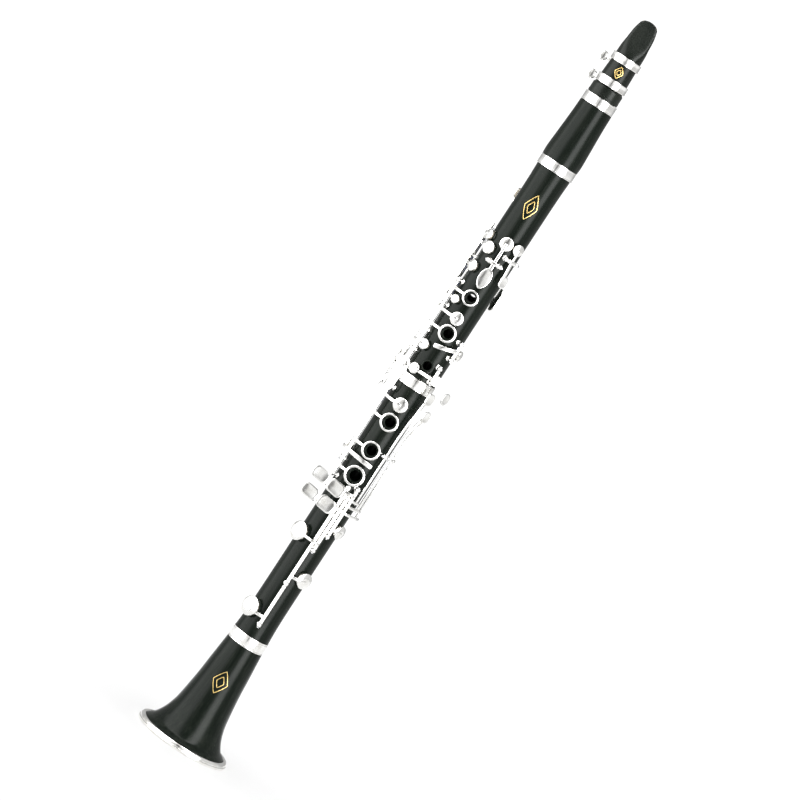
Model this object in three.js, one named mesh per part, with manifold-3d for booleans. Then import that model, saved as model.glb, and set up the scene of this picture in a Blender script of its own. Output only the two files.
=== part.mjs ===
// B-flat clarinet with the Boehm key system, standing upright on its bell.
// Millimetres. +Z runs up the bore from the bell rim (z = 0) to the mouthpiece tip.
// The tone holes face -Y, the thumb side faces +Y, and the player's right hand is at -X.
// Places around the body are given as an angle: 0 is the front, positive towards +X.

import * as THREE from "three";
import * as BufferGeometryUtils from "three/addons/utils/BufferGeometryUtils.js";
import Module from "manifold-3d";

const wasm = await Module();
wasm.setup();

// ---------------------------------------------------------------- driving dimensions

const gap = 0.3;                 // clearance between pieces that touch
const boreRadius = 7.4;
const upperRadius = 14.3;        // outside of the upper joint
const lowerRadius = 14.0;        // outside of the lower joint at its top
const bellRimRadius = 40;
const tipZ = 667;                // top of the mouthpiece
const shankZ = 597.8;            // underside of the mouthpiece's shank
const barrelTopZ = 597.5;
const barrelBottomZ = 530.7;
const upperTopZ = 530.4;
const upperBottomZ = 341;
const lowerTopZ = 340.6;
const lowerBottomZ = 102.1;
const bellTopZ = 101.7;
const ringWall = 0.9;            // sheet thickness of the tenon rings
const hingeRadius = 18.7;        // distance of every lengthwise hinge from the bore axis
const tubeRadius = 1.5;          // outside of the hinge tubes
const rodRadius = 0.7;           // steel rods inside the tubes
const postRadius = 1.5;
const seatHeight = 0.9;          // top of a pad seat above the wood
const padThickness = 2.0;
const cupThickness = 1.5;
const armWidth = 2.2;
const armThickness = 1.3;

// ---------------------------------------------------------------- materials

const materials = {
  wood: { color: 0x1c211e, roughness: 0.4, metalness: 0 },
  ebonite: { color: 0x121413, roughness: 0.3, metalness: 0 },
  silver: { color: 0xdcdcd8, roughness: 0.2, metalness: 1 },
  steel: { color: 0x9c9ea0, roughness: 0.35, metalness: 1 },
  cork: { color: 0xb58a5c, roughness: 0.9, metalness: 0 },
  cane: { color: 0xdcc48c, roughness: 0.65, metalness: 0 },
  pad: { color: 0xe6dcc6, roughness: 0.8, metalness: 0 },
};
for (const name of Object.keys(materials)) {
  materials[name] = new THREE.MeshStandardMaterial(materials[name]);
}

// ---------------------------------------------------------------- solids

// Closed three.js geometry to a solid whose faces point out.
function solidOf(geometry, matrix = new THREE.Matrix4()) {
  const bare = geometry.clone().applyMatrix4(matrix);
  bare.deleteAttribute("normal");
  bare.deleteAttribute("uv");
  const merged = BufferGeometryUtils.mergeVertices(bare, 1e-4);
  const places = merged.attributes.position.array;
  const corner = (i) => new THREE.Vector3().fromArray(places, 3 * i);
  const triangles = [];
  let volume = 0;
  for (let i = 0; i < merged.index.count; i += 3) {
    const [a, b, c] = [0, 1, 2].map((k) => merged.index.getX(i + k));
    if (a === b || b === c || c === a) continue;
    triangles.push(a, b, c);
    volume += corner(a).dot(corner(b).cross(corner(c)));
  }
  if (volume < 0) triangles.reverse();
  return new wasm.Manifold(new wasm.Mesh({
    numProp: 3,
    vertProperties: new Float32Array(places),
    triVerts: new Uint32Array(triangles),
  }));
}

function geometryOf(solid) {
  const mesh = solid.getMesh();
  const geometry = new THREE.BufferGeometry();
  geometry.setAttribute("position", new THREE.BufferAttribute(mesh.vertProperties, 3));
  geometry.setIndex(new THREE.BufferAttribute(mesh.triVerts, 1));
  geometry.computeVertexNormals();
  return geometry;
}

const join = (...solids) => solids.flat().reduce((whole, next) => whole.add(next));
const cut = (solid, ...tools) => tools.flat().reduce((rest, tool) => rest.subtract(tool), solid);

// ---------------------------------------------------------------- places around the body

const radians = THREE.MathUtils.degToRad;
const outward = (angle) => new THREE.Vector3(Math.sin(radians(angle)), -Math.cos(radians(angle)), 0);
const at = (angle, radius, z) => outward(angle).multiplyScalar(radius).setZ(z);

// Local X runs around the body, local Y up the bore and local Z outward.
function frameAt(angle, radius, z) {
  const out = outward(angle);
  const up = new THREE.Vector3(0, 0, 1);
  const around = new THREE.Vector3().crossVectors(up, out);
  return new THREE.Matrix4().makeBasis(around, up, out).setPosition(at(angle, radius, z));
}

// ---------------------------------------------------------------- plain shapes

// Turned piece about the bore axis, from a closed profile of [radius, z].
function turned(profile, sides = 20) {
  const points = profile.map(([radius, z]) => new THREE.Vector2(radius, z));
  points.push(points[0].clone());
  return solidOf(new THREE.LatheGeometry(points, sides).rotateX(Math.PI / 2));
}

function rod(from, to, radius, sides = 6) {
  const along = new THREE.Vector3().subVectors(to, from);
  const turn = new THREE.Quaternion().setFromUnitVectors(
    new THREE.Vector3(0, 1, 0), along.clone().normalize());
  const middle = new THREE.Vector3().addVectors(from, to).multiplyScalar(0.5);
  const matrix = new THREE.Matrix4().compose(middle, turn, new THREE.Vector3(1, 1, 1));
  return solidOf(new THREE.CylinderGeometry(radius, radius, along.length(), sides), matrix);
}

// Flat bar between two points, its broad face turned to the direction `face`.
function bar(from, to, width, thickness, face) {
  const along = new THREE.Vector3().subVectors(to, from);
  const length = along.length() + thickness * 0.8;
  const direction = along.normalize();
  const across = new THREE.Vector3().crossVectors(face, direction).normalize();
  const out = new THREE.Vector3().crossVectors(direction, across);
  const middle = new THREE.Vector3().addVectors(from, to).multiplyScalar(0.5);
  const matrix = new THREE.Matrix4().makeBasis(across, direction, out).setPosition(middle);
  return solidOf(new THREE.BoxGeometry(width, length, thickness), matrix);
}

// Chain of bars through places [angle, radius, z], broad side out.
function arm(places, width = armWidth, thickness = armThickness) {
  const bars = [];
  for (let i = 1; i < places.length; i += 1) {
    const middleAngle = (places[i - 1][0] + places[i][0]) / 2;
    bars.push(bar(at(...places[i - 1]), at(...places[i]), width, thickness, outward(middleAngle)));
  }
  return join(bars);
}

// Round disc whose axis points outward, between two distances from the bore axis.
function disc(angle, z, inner, outer, radius, sides = 8) {
  return rod(at(angle, inner, z), at(angle, outer, z), radius, sides);
}

function box(low, high) {
  const size = new THREE.Vector3().subVectors(high, low);
  const middle = new THREE.Vector3().addVectors(low, high).multiplyScalar(0.5);
  const matrix = new THREE.Matrix4().setPosition(middle);
  return solidOf(new THREE.BoxGeometry(size.x, size.y, size.z), matrix);
}

const vector = (x, y, z) => new THREE.Vector3(x, y, z);

// ---------------------------------------------------------------- key parts

const tube = (angle, low, high, radius = tubeRadius) =>
  rod(at(angle, hingeRadius, low), at(angle, hingeRadius, high), radius, 6);

const rodHole = (angle, low, high) => tube(angle, low, high, rodRadius + gap);

// Hinge tube bored through for a steel rod.
const boredTube = (angle, low, high) =>
  cut(tube(angle, low, high), rodHole(angle, low - 1, high + 1));

const post = (angle, z, woodRadius, radius = postRadius) =>
  rod(at(angle, woodRadius - 1.5, z), at(angle, hingeRadius + 1.5, z), radius, 6);

// Raised seat of a pad, or the chimney of a finger hole.
const seat = (angle, z, woodRadius, radius, height = seatHeight) =>
  disc(angle, z, boreRadius + 3, woodRadius + height, radius, 8);

const toneHole = (angle, z, woodRadius, radius) => disc(angle, z, 1, woodRadius + 6, radius, 6);

const pad = (angle, z, woodRadius, radius) => {
  const bottom = woodRadius + seatHeight + gap;
  return disc(angle, z, bottom, bottom + padThickness, radius);
};

const cupBottom = (woodRadius) => woodRadius + seatHeight + gap + padThickness + gap;

const cup = (angle, z, woodRadius, radius) =>
  disc(angle, z, cupBottom(woodRadius), cupBottom(woodRadius) + cupThickness, radius + 0.4);

// Ring that surrounds a finger hole, level with the chimney when it is pressed.
function fingerRing(angle, z, woodRadius, outer, inner, lift = 0) {
  const low = woodRadius + 2.1 + lift;
  const profile = [[inner, low], [outer, low], [outer, low + 1.6], [inner, low + 1.6]];
  const points = profile.map(([radius, height]) => new THREE.Vector2(radius, height));
  points.push(points[0].clone());
  const lathe = new THREE.LatheGeometry(points, 12).rotateX(Math.PI / 2);
  return solidOf(lathe, frameAt(angle, 0, z));
}

// Rounded plate for a finger, `outline` in the plate's own plane, thickness towards the player.
function plate(outline, thickness, matrix) {
  const geometry = new THREE.ExtrudeGeometry(outline, {
    depth: thickness, bevelEnabled: false, curveSegments: 3,
  });
  return solidOf(geometry, matrix);
}

function roundedOutline(width, height, corner) {
  const shape = new THREE.Shape();
  const x = width / 2 - corner;
  const y = height / 2 - corner;
  shape.absarc(x, y, corner, 0, Math.PI / 2);
  shape.absarc(-x, y, corner, Math.PI / 2, Math.PI);
  shape.absarc(-x, -y, corner, Math.PI, 1.5 * Math.PI);
  shape.absarc(x, -y, corner, 1.5 * Math.PI, 2 * Math.PI);
  return shape;
}

function leafOutline(width, height) {
  const shape = new THREE.Shape();
  const shoulder = height * 0.28;
  shape.moveTo(-width * 0.28, height / 2);
  shape.lineTo(width * 0.28, height / 2);
  shape.quadraticCurveTo(width / 2, height / 2, width / 2, shoulder);
  shape.quadraticCurveTo(width * 0.45, -height * 0.2, 0, -height / 2);
  shape.quadraticCurveTo(-width * 0.45, -height * 0.2, -width / 2, shoulder);
  shape.quadraticCurveTo(-width / 2, height / 2, -width * 0.28, height / 2);
  return shape;
}

// Matrix of a plate that lies flat to the direction `face`, tilted in its own plane.
function plateFrame(centre, face, tilt = 0) {
  const out = face.clone().normalize();
  const up = vector(0, 0, 1);
  const around = vector().crossVectors(up, out).normalize();
  const top = vector().crossVectors(out, around);
  const turn = new THREE.Matrix4().makeRotationZ(radians(tilt));
  return new THREE.Matrix4().makeBasis(around, top, out).setPosition(centre).multiply(turn);
}

// ---------------------------------------------------------------- scene graph

const clarinet = new THREE.Group();
clarinet.name = "clarinet";

function add(name, solid, material, parent = clarinet) {
  const mesh = new THREE.Mesh(geometryOf(solid), material);
  mesh.name = name;
  parent.add(mesh);
  return mesh;
}

// Adds the pieces of one key. A key that stands open is modelled shut, then its
// group is swung open about its lengthwise hinge at `angle` by `degrees`.
function addKey(pieces, angle = 0, degrees = 0) {
  const hinge = at(angle, hingeRadius, 0);
  const swing = new THREE.Group();
  swing.position.copy(hinge);
  swing.rotation.z = radians(degrees);
  const offset = new THREE.Group();
  offset.position.copy(hinge).negate();
  swing.add(offset);
  clarinet.add(swing);
  for (const [name, solid, material] of pieces) add(name, solid, material, offset);
}

// ---------------------------------------------------------------- tenons, sockets and rings

// A tenon's cork lies in a groove, 0.3 mm clear of the wood and of the socket round it.
const tenons = {
  mouthpiece: { low: 580, high: shankZ, radius: 10.9, groove: 9.8 },
  upper: { low: upperTopZ, high: 548, radius: 11.9, groove: 10.6 },
  middle: { low: 322.5, high: upperBottomZ, radius: 11.5, groove: 10.3 },
  lower: { low: 80, high: lowerBottomZ, radius: 12.9, groove: 11.8 },
};
const socketRadius = (tenon) => tenon.radius + gap;
const grooveLow = (tenon) => tenon.low + 3.5;
const grooveHigh = (tenon) => tenon.high - 3.5;

function addCork(name, tenon) {
  const inner = tenon.groove + gap;
  const low = grooveLow(tenon) + gap;
  const high = grooveHigh(tenon) - gap;
  const profile = [[inner, low], [tenon.radius, low], [tenon.radius, high], [inner, high]];
  add(name, turned(profile, 16), materials.cork);
}

function addRing(name, inner, lowOuter, highOuter, low, high) {
  const profile = [[inner, low], [lowOuter, low], [highOuter, high], [inner, high]];
  add(name, turned(profile), materials.silver);
}

addCork("mouthpiece_cork", tenons.mouthpiece);
addCork("upper_tenon_cork", tenons.upper);
addCork("middle_tenon_cork", tenons.middle);
addCork("lower_tenon_cork", tenons.lower);

const barrelRings = { topLow: 590, topRadius: 14, bottomHigh: 538.5, bottomRadius: 15.7 };
addRing("barrel_ring_top", barrelRings.topRadius - ringWall, barrelRings.topRadius,
  barrelRings.topRadius, barrelRings.topLow, barrelTopZ);
addRing("barrel_ring_bottom", barrelRings.bottomRadius - ringWall, barrelRings.bottomRadius,
  barrelRings.bottomRadius, barrelBottomZ, barrelRings.bottomHigh);

const centreRing = { low: 332, radius: 15 };
addRing("centre_ring", centreRing.radius - ringWall, centreRing.radius, centreRing.radius,
  centreRing.low, lowerTopZ);

const bellRing = { low: 92, radius: 15.5 };
addRing("bell_socket_ring", bellRing.radius - ringWall, bellRing.radius, bellRing.radius,
  bellRing.low, bellTopZ);

const rimRing = { inner: 35.9, high: 5 };
addRing("bell_rim_ring", rimRing.inner, bellRimRadius, bellRimRadius - 1.2, 0, rimRing.high);

// ---------------------------------------------------------------- barrel

{
  const topSeat = barrelRings.topRadius - ringWall - gap;
  const bottomSeat = barrelRings.bottomRadius - ringWall - gap;
  const topSocket = socketRadius(tenons.mouthpiece);
  const bottomSocket = socketRadius(tenons.upper);
  const topSocketFloor = tenons.mouthpiece.low - gap;
  const bottomSocketRoof = tenons.upper.high + gap;
  add("barrel", turned([
    [bottomSocket, barrelBottomZ], [bottomSeat, barrelBottomZ],
    [bottomSeat, barrelRings.bottomHigh + gap],
    [15.7, barrelRings.bottomHigh + gap], [16, 545], [14.9, 566],
    [13.9, barrelRings.topLow - gap], [topSeat, barrelRings.topLow - gap],
    [topSeat, barrelTopZ], [topSocket, barrelTopZ],
    [topSocket, topSocketFloor], [boreRadius, topSocketFloor],
    [boreRadius, bottomSocketRoof], [bottomSocket, bottomSocketRoof],
  ]), materials.wood);
}

// ---------------------------------------------------------------- bell

{
  const socket = socketRadius(tenons.lower);
  const floor = tenons.lower.low - gap;
  const ringSeat = bellRing.radius - ringWall - gap;
  add("bell", turned([
    [socket, bellTopZ], [socket, floor], [10.8, floor], [12.6, 60], [15.6, 40], [20.4, 22],
    [26.5, 10], [31.5, 3.4], [33.4, 0.5], [rimRing.inner - gap, 0.5],
    [rimRing.inner - gap, rimRing.high + gap], [33.8, 6.7], [30.4, 9.4], [26.2, 16.4],
    [22, 31], [19.8, 47], [17.6, 70], [bellRing.radius, bellRing.low - gap],
    [ringSeat, bellRing.low - gap], [ringSeat, bellTopZ],
  ]), materials.wood);
}

// ---------------------------------------------------------------- mouthpiece, reed and ligature

const tableY = 9.4;              // flat face that the reed lies on
const upperBand = { low: 628, high: 634, radius: 12.4 };
const lowerBand = { low: 608.2, high: 614.5, radius: 13.3 };
const reed = { halfWidth: 6.3, low: 601, high: 666.4, heel: 2.9, tip: 0.4 };

// Prism along X from an outline of [y, z], or along Y from an outline of [x, z].
function prism(outline, halfDepth, axis) {
  const shape = new THREE.Shape(outline.map(([u, v]) => new THREE.Vector2(u, v)));
  const geometry = new THREE.ExtrudeGeometry(shape, { depth: 2 * halfDepth, bevelEnabled: false });
  geometry.translate(0, 0, -halfDepth);
  const alongX = [vector(0, 1, 0), vector(0, 0, 1), vector(1, 0, 0)];
  const alongY = [vector(1, 0, 0), vector(0, 0, 1), vector(0, -1, 0)];
  return solidOf(geometry, new THREE.Matrix4().makeBasis(...(axis === "x" ? alongX : alongY)));
}

{
  const tenon = tenons.mouthpiece;
  const blank = turned([
    [0, tenon.low], [tenon.radius, tenon.low], [tenon.radius, grooveLow(tenon)],
    [tenon.groove, grooveLow(tenon)], [tenon.groove, grooveHigh(tenon)],
    [tenon.radius, grooveHigh(tenon)], [tenon.radius, shankZ], [13.2, shankZ], [13.2, 606.4],
    [11.9, 607.6], [11.1, 628], [10.9, 634], [10.6, 646], [10, 670], [0, 670],
  ]);
  const frontOutline = prism([
    [-15, 570], [15, 570], [15, 630], [10.6, 646], [9.3, 657], [7.6, 663.6],
    [4.4, 666.4], [0, tipZ], [-4.4, 666.4], [-7.6, 663.6], [-9.3, 657], [-10.6, 646], [-15, 630],
  ], 20, "y");
  const sideOutline = prism([
    [-15, 570], [15, 570], [15, 599.6], [tableY, 600.6], [tableY, tipZ + 1], [8.2, tipZ + 1],
    [-9.4, 638], [-15, 632],
  ], 20, "x");
  const chamber = prism([[-4.2, 618], [tableY + 2, 618], [tableY + 2, 662], [tableY - 1.8, 662],
    [-2, 640]], 4.8, "x");
  const bore = rod(vector(0, 0, tenon.low - 1), vector(0, 0, 622), boreRadius - 0.2, 20);
  const body = blank.intersect(frontOutline).intersect(sideOutline);
  add("mouthpiece", cut(body, chamber, bore), materials.ebonite);
}

{
  const back = tableY + gap;
  const { low, high, heel, tip } = reed;
  const blade = prism([[back, low], [back + heel, low + 1], [back + heel, 634],
    [back + 1.6, 650], [back + tip, high], [back, high]], reed.halfWidth, "x");
  add("reed", blade, materials.cane);
}

// Outline of a ligature band round the mouthpiece and the reed's back.
function ligatureOutline(radius, halfBack, backY) {
  const shape = new THREE.Shape();
  const side = Math.atan2(4, halfBack);
  const edge = (angle) => [radius * Math.cos(angle), radius * Math.sin(angle)];
  shape.moveTo(halfBack, backY);
  shape.lineTo(...edge(side));
  shape.absarc(0, 0, radius, side, Math.PI - side, true);
  shape.lineTo(-halfBack, backY);
  return shape;
}

function ligatureBand({ low, high, radius }) {
  const halfBack = 8.6;
  const backY = tableY + gap + reed.heel + gap + ringWall;
  const outline = (inset) => new THREE.ExtrudeGeometry(
    ligatureOutline(radius - inset, halfBack - inset, backY - inset),
    { depth: high - low + 2 * inset, bevelEnabled: false, curveSegments: 8 },
  ).translate(0, 0, low - inset);
  return cut(solidOf(outline(0)), solidOf(outline(ringWall)));
}

const ligatureScrew = { y: 16.3, lowerZ: 609.8, upperZ: 626.4, headX: -15.6 };
{
  const backY = tableY + gap + reed.heel + gap;
  const sides = [-5.6, 5.6];
  const rails = sides.map((x) =>
    box(vector(x - 2, backY + 0.05, lowerBand.low), vector(x + 2, backY + ringWall, upperBand.high)));
  const lugs = sides.flatMap((x) => [ligatureScrew.lowerZ, ligatureScrew.upperZ].map((z) =>
    box(vector(x - 1.2, backY + 0.4, z - 2), vector(x + 1.2, ligatureScrew.y + 2, z + 2))));
  const holes = [ligatureScrew.lowerZ, ligatureScrew.upperZ].map((z) =>
    rod(vector(-12, ligatureScrew.y, z), vector(12, ligatureScrew.y, z), 1.2, 8));
  const bands = join(ligatureBand(upperBand), ligatureBand(lowerBand), rails, lugs);
  add("ligature_band", cut(bands, holes), materials.silver);
}

function addLigatureScrew(name, z) {
  const { y, headX } = ligatureScrew;
  const shaft = rod(vector(headX, y, z), vector(8.4, y, z), 0.9, 8);
  const head = new THREE.SphereGeometry(1, 10, 6).scale(3.4, 1.5, 3.9);
  const centre = new THREE.Matrix4().setPosition(headX - 1.6, y, z);
  add(name, join(shaft, solidOf(head, centre)), materials.silver);
}
addLigatureScrew("ligature_screw_lower", ligatureScrew.lowerZ);
addLigatureScrew("ligature_screw_upper", ligatureScrew.upperZ);

// ---------------------------------------------------------------- hinge lines and pads

// Every lengthwise hinge: its angle round the body and the heights of its posts.
const lines = {
  upperStack: { angle: -60, posts: [422, 400.5, 345.4], drilled: true },
  thumb: { angle: -135, posts: [430, 407] },
  sideEflat: { angle: -78, posts: [376, 358] },
  sideFsharp: { angle: -90, posts: [443, 358] },
  lowerTrill: { angle: -102, posts: [461, 358] },
  upperTrill: { angle: -114, posts: [470, 358] },
  leftSliver: { angle: 46, posts: [381, 366.6] },
  csharp: { angle: 32, posts: [356.6, 343.6] },
  lowerStack: { angle: -58, posts: [324.5, 243.6], drilled: true },
  rightSliver: { angle: -80, posts: [273, 257] },
  lowE: { angle: 3, posts: [240.2, 152, 113.6] },
  lowF: { angle: 14, posts: [234.2, 185.4], drilled: true },
  aflat: { angle: 25, posts: [243.6, 200.2], drilled: true },
};

// Every pad: angle, height, its own radius, the tone hole's radius and the body's radius.
const pads = {
  register: { angle: -125, z: 501.6, radius: 4.2, hole: 1.6, wood: upperRadius },
  throatGsharp: { angle: 36, z: 465.5, radius: 4.4, hole: 2.6, wood: upperRadius },
  throatA: { angle: 0, z: 465, radius: 5.1, hole: 3, wood: upperRadius },
  upperTrill: { angle: -64, z: 464, radius: 4.2, hole: 2.6, wood: upperRadius },
  lowerTrill: { angle: -37, z: 455.5, radius: 4.8, hole: 2.8, wood: upperRadius },
  sideFsharp: { angle: -50, z: 437, radius: 4.4, hole: 2.6, wood: upperRadius },
  vent: { angle: -34, z: 408.4, radius: 3.2, hole: 1.6, wood: upperRadius },
  middleRing: { angle: 0, z: 396.4, radius: 5, hole: 3, wood: upperRadius },
  leftSliver: { angle: 74, z: 372, radius: 4, hole: 2.4, wood: upperRadius },
  sideEflat: { angle: -40.5, z: 366, radius: 4.4, hole: 2.8, wood: upperRadius },
  csharp: { angle: -26, z: 346.6, radius: 4, hole: 2.4, wood: upperRadius },
  rightRing: { angle: 0, z: 316.8, radius: 5.6, hole: 3.3, wood: lowerRadius },
  rightSliver: { angle: -108, z: 265, radius: 4, hole: 2.4, wood: lowerRadius },
  aflat: { angle: 56, z: 207, radius: 5.4, hole: 3.4, wood: lowerRadius },
  lowF: { angle: -49, z: 191.8, radius: 7.6, hole: 4.8, wood: lowerRadius },
  fsharp: { angle: 43, z: 160.7, radius: 6.4, hole: 4, wood: lowerRadius },
  lowE: { angle: -47, z: 121.9, radius: 7.8, hole: 5.2, wood: lowerRadius },
};

// Every finger hole on the front: height, hole, chimney and ring.
const fingerHoles = {
  leftFirst: { z: 415.4, hole: 3.3, chimney: 4.7, ring: 6.5, wood: upperRadius },
  leftMiddle: { z: 382.8, hole: 3.6, chimney: 5.2, ring: 7.2, wood: upperRadius },
  leftThird: { z: 353.4, hole: 3.4, chimney: 4.8, wood: upperRadius },
  rightFirst: { z: 300.9, hole: 3.9, chimney: 5.5, ring: 7.5, wood: lowerRadius },
  rightMiddle: { z: 274.9, hole: 3.9, chimney: 5.5, ring: 7.5, wood: lowerRadius },
  rightThird: { z: 251.6, hole: 4.4, chimney: 6.1, ring: 8.3, wood: lowerRadius },
};
const chimneyHeight = 1.9;
const chimneyGap = 0.4;

// Rocking keys turn on an axle across the body, held between two posts.
const rockers = {
  throatA: { angle: 0, z: 447.4 },
  throatGsharp: { angle: 36, z: 455.2 },
  register: { angle: 184, z: 455 },
  leftE: { angle: 40, z: 276 },
  leftF: { angle: 58, z: 276 },
  leftFsharp: { angle: 76, z: 276 },
};

const thumbRest = { baseY: 14.4, baseDepth: 1.6, halfWidth: 6, low: 276, high: 298, reach: 31 };
const restScrews = { lower: 280.6, upper: 288.4, shaft: 1.1, head: 2.3, depth: 10.4 };
const restScrewHole = (z) =>
  rod(vector(0, restScrews.depth - gap, z), vector(0, 20, z), restScrews.shaft + gap, 8);

// ---------------------------------------------------------------- joints of the body

const isUpper = (feature) => (feature.z ?? feature.posts[0]) > upperBottomZ;

// Adds seats, chimneys and posts to a turned joint and drills its tone holes.
function drilledJoint(blank, upper) {
  const wood = upper ? upperRadius : lowerRadius;
  const ownPads = Object.values(pads).filter((item) => isUpper(item) === upper);
  const ownHoles = Object.values(fingerHoles).filter((item) => isUpper(item) === upper);
  const ownLines = Object.values(lines).filter((item) => isUpper(item) === upper);
  const seats = ownPads.map((item) => seat(item.angle, item.z, wood, item.radius - 0.9));
  const chimneys = ownHoles.map((item) => seat(0, item.z, wood, item.chimney, chimneyHeight));
  const posts = ownLines.flatMap((line) => line.posts.map((z) => post(line.angle, z, wood)));
  const passages = ownLines.filter((line) => line.drilled)
    .map((line) => rodHole(line.angle, line.posts.at(-1) - 3, line.posts[0] + 3));
  const holes = [
    ...passages,
    ...ownPads.map((item) => toneHole(item.angle, item.z, wood, item.hole)),
    ...ownHoles.map((item) => toneHole(0, item.z, wood, item.hole)),
  ];
  return cut(join(blank, seats, chimneys, posts), holes);
}

// Two posts that hold the axle of a rocking key, one each side of it.
function axlePosts(rocker, woodRadius, spread, radius = postRadius) {
  const step = THREE.MathUtils.radToDeg(spread / hingeRadius);
  return [-step, step].map((turn) => post(rocker.angle + turn, rocker.z, woodRadius, radius));
}

const thumbHole = { angle: 180, z: 419, hole: 3.6, bush: 4.9 };
const registerTube = { inner: 1.6, outer: 2.4 };
const liningSolid = ({ angle, z }, radius, inner = 1, outer = 20) =>
  disc(angle, z, inner, outer, radius, 10);
const rockerSpread = 5.6;
const leverSpread = hingeRadius * radians(9);
const leverPostRadius = 1.1;

{
  const { upper, middle } = tenons;
  const blank = turned([
    [boreRadius, middle.low], [middle.radius, middle.low], [middle.radius, grooveLow(middle)],
    [middle.groove, grooveLow(middle)], [middle.groove, grooveHigh(middle)],
    [middle.radius, grooveHigh(middle)], [middle.radius, upperBottomZ],
    [upperRadius, upperBottomZ], [upperRadius, 517], [14.8, upperTopZ],
    [upper.radius, upperTopZ], [upper.radius, grooveLow(upper)], [upper.groove, grooveLow(upper)],
    [upper.groove, grooveHigh(upper)], [upper.radius, grooveHigh(upper)],
    [upper.radius, upper.high], [boreRadius, upper.high],
  ]);
  const drilled = drilledJoint(blank, true);
  const axles = [rockers.throatA, rockers.throatGsharp, rockers.register]
    .flatMap((rocker) => axlePosts(rocker, upperRadius, rockerSpread));
  const bushSeat = liningSolid(thumbHole, thumbHole.bush + gap);
  const tubeSeat = liningSolid(pads.register, registerTube.outer + gap);
  add("upper_joint", cut(join(drilled, axles), bushSeat, tubeSeat), materials.wood);
}

{
  const { middle, lower } = tenons;
  const ringSeat = centreRing.radius - ringWall - gap;
  const socket = socketRadius(middle);
  const socketFloor = middle.low - gap;
  const blank = turned([
    [socket, lowerTopZ], [socket, socketFloor], [boreRadius, socketFloor], [boreRadius, 180],
    [10.2, lower.low], [lower.radius, lower.low], [lower.radius, grooveLow(lower)],
    [lower.groove, grooveLow(lower)], [lower.groove, grooveHigh(lower)],
    [lower.radius, grooveHigh(lower)], [lower.radius, lowerBottomZ], [15.1, lowerBottomZ],
    [14.2, 122], [lowerRadius, 160], [lowerRadius, 325], [14.9, centreRing.low - gap],
    [ringSeat, centreRing.low - gap], [ringSeat, lowerTopZ],
  ]);
  const drilled = drilledJoint(blank, false);
  const levers = [rockers.leftE, rockers.leftF, rockers.leftFsharp];
  const firstPost = { angle: rockers.leftE.angle - 9, z: rockers.leftE.z };
  const axles = [firstPost, ...levers.map(({ angle, z }) => ({ angle: angle + 9, z }))]
    .map(({ angle, z }) => post(angle, z, lowerRadius, leverPostRadius));
  const passage = rodHole(lines.lowE.angle, 149, 155);
  const screwHoles = [restScrews.lower, restScrews.upper].map(restScrewHole);
  add("lower_joint", cut(join(drilled, axles), passage, screwHoles), materials.wood);
}

// ---------------------------------------------------------------- linings of the upper joint

{
  const body = liningSolid(thumbHole, thumbHole.bush, boreRadius + 1.2, upperRadius + 1.6);
  add("thumb_bush", cut(body, liningSolid(thumbHole, thumbHole.hole)), materials.ebonite);
}

{
  const { inner, outer } = registerTube;
  const sleeve = liningSolid(pads.register, outer, boreRadius - 3, upperRadius + seatHeight);
  add("register_tube", cut(sleeve, liningSolid(pads.register, inner)), materials.silver);
}

// ---------------------------------------------------------------- key building blocks

const postClearance = postRadius + 0.4;
const between = (line, top = 0, bottom = line.posts.length - 1) =>
  [line.posts[bottom] + postClearance, line.posts[top] - postClearance];
const cupMiddle = (wood) => cupBottom(wood) + cupThickness * 0.75;

const cupOf = ({ angle, z, wood, radius }) => cup(angle, z, wood, radius);
const padOf = ({ angle, z, wood, radius }) => pad(angle, z, wood, radius);

// Small cup with its pad pressed in, as one disc.
const filledCup = ({ angle, z, wood, radius }) =>
  disc(angle, z, wood + seatHeight + gap, cupBottom(wood) + cupThickness, radius);

// Arm from a hinge line to a pad cup: over to the cup's rim, then flat along its top.
function padArm(line, item, armZ = item.z) {
  const top = cupMiddle(item.wood);
  const side = Math.sign(line.angle - item.angle);
  const rimTurn = THREE.MathUtils.radToDeg(Math.atan2(item.radius, top)) * side;
  return arm([[line.angle, hingeRadius, armZ],
    [item.angle + rimTurn, Math.hypot(item.radius, top), armZ], [item.angle, top, item.z]]);
}

// Ring of a finger hole with the arm that carries it from a hinge line.
function ringOnArm(line, hole) {
  const inner = hole.chimney + chimneyGap;
  const middle = hole.wood + 2.9;
  const reach = hole.ring - 0.6;
  const edge = THREE.MathUtils.radToDeg(Math.atan2(reach, middle)) * Math.sign(line.angle);
  const path = [[line.angle, hingeRadius, hole.z], [line.angle * 0.62, hingeRadius, hole.z],
    [edge, Math.hypot(reach, middle), hole.z]];
  return join(fingerRing(0, hole.z, hole.wood, hole.ring, inner), arm(path, 2, 1.2));
}

// Radial stub that lifts an arm clear of its neighbours.
const stub = (angle, inner, outer, z, width = 2) =>
  bar(at(angle, inner, z), at(angle, outer, z), width, width, vector(0, 0, 1));

// Hub of a rocking key, on an axle across the body.
function hub(rocker, halfLength, radius = 1.7) {
  const around = vector(Math.cos(radians(rocker.angle)), Math.sin(radians(rocker.angle)), 0);
  const centre = at(rocker.angle, hingeRadius, rocker.z);
  const end = around.multiplyScalar(halfLength);
  return rod(centre.clone().sub(end), centre.clone().add(end), radius, 10);
}
const hubHalf = rockerSpread - postRadius - 0.4;

// ---------------------------------------------------------------- finger rings, upper joint

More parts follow.
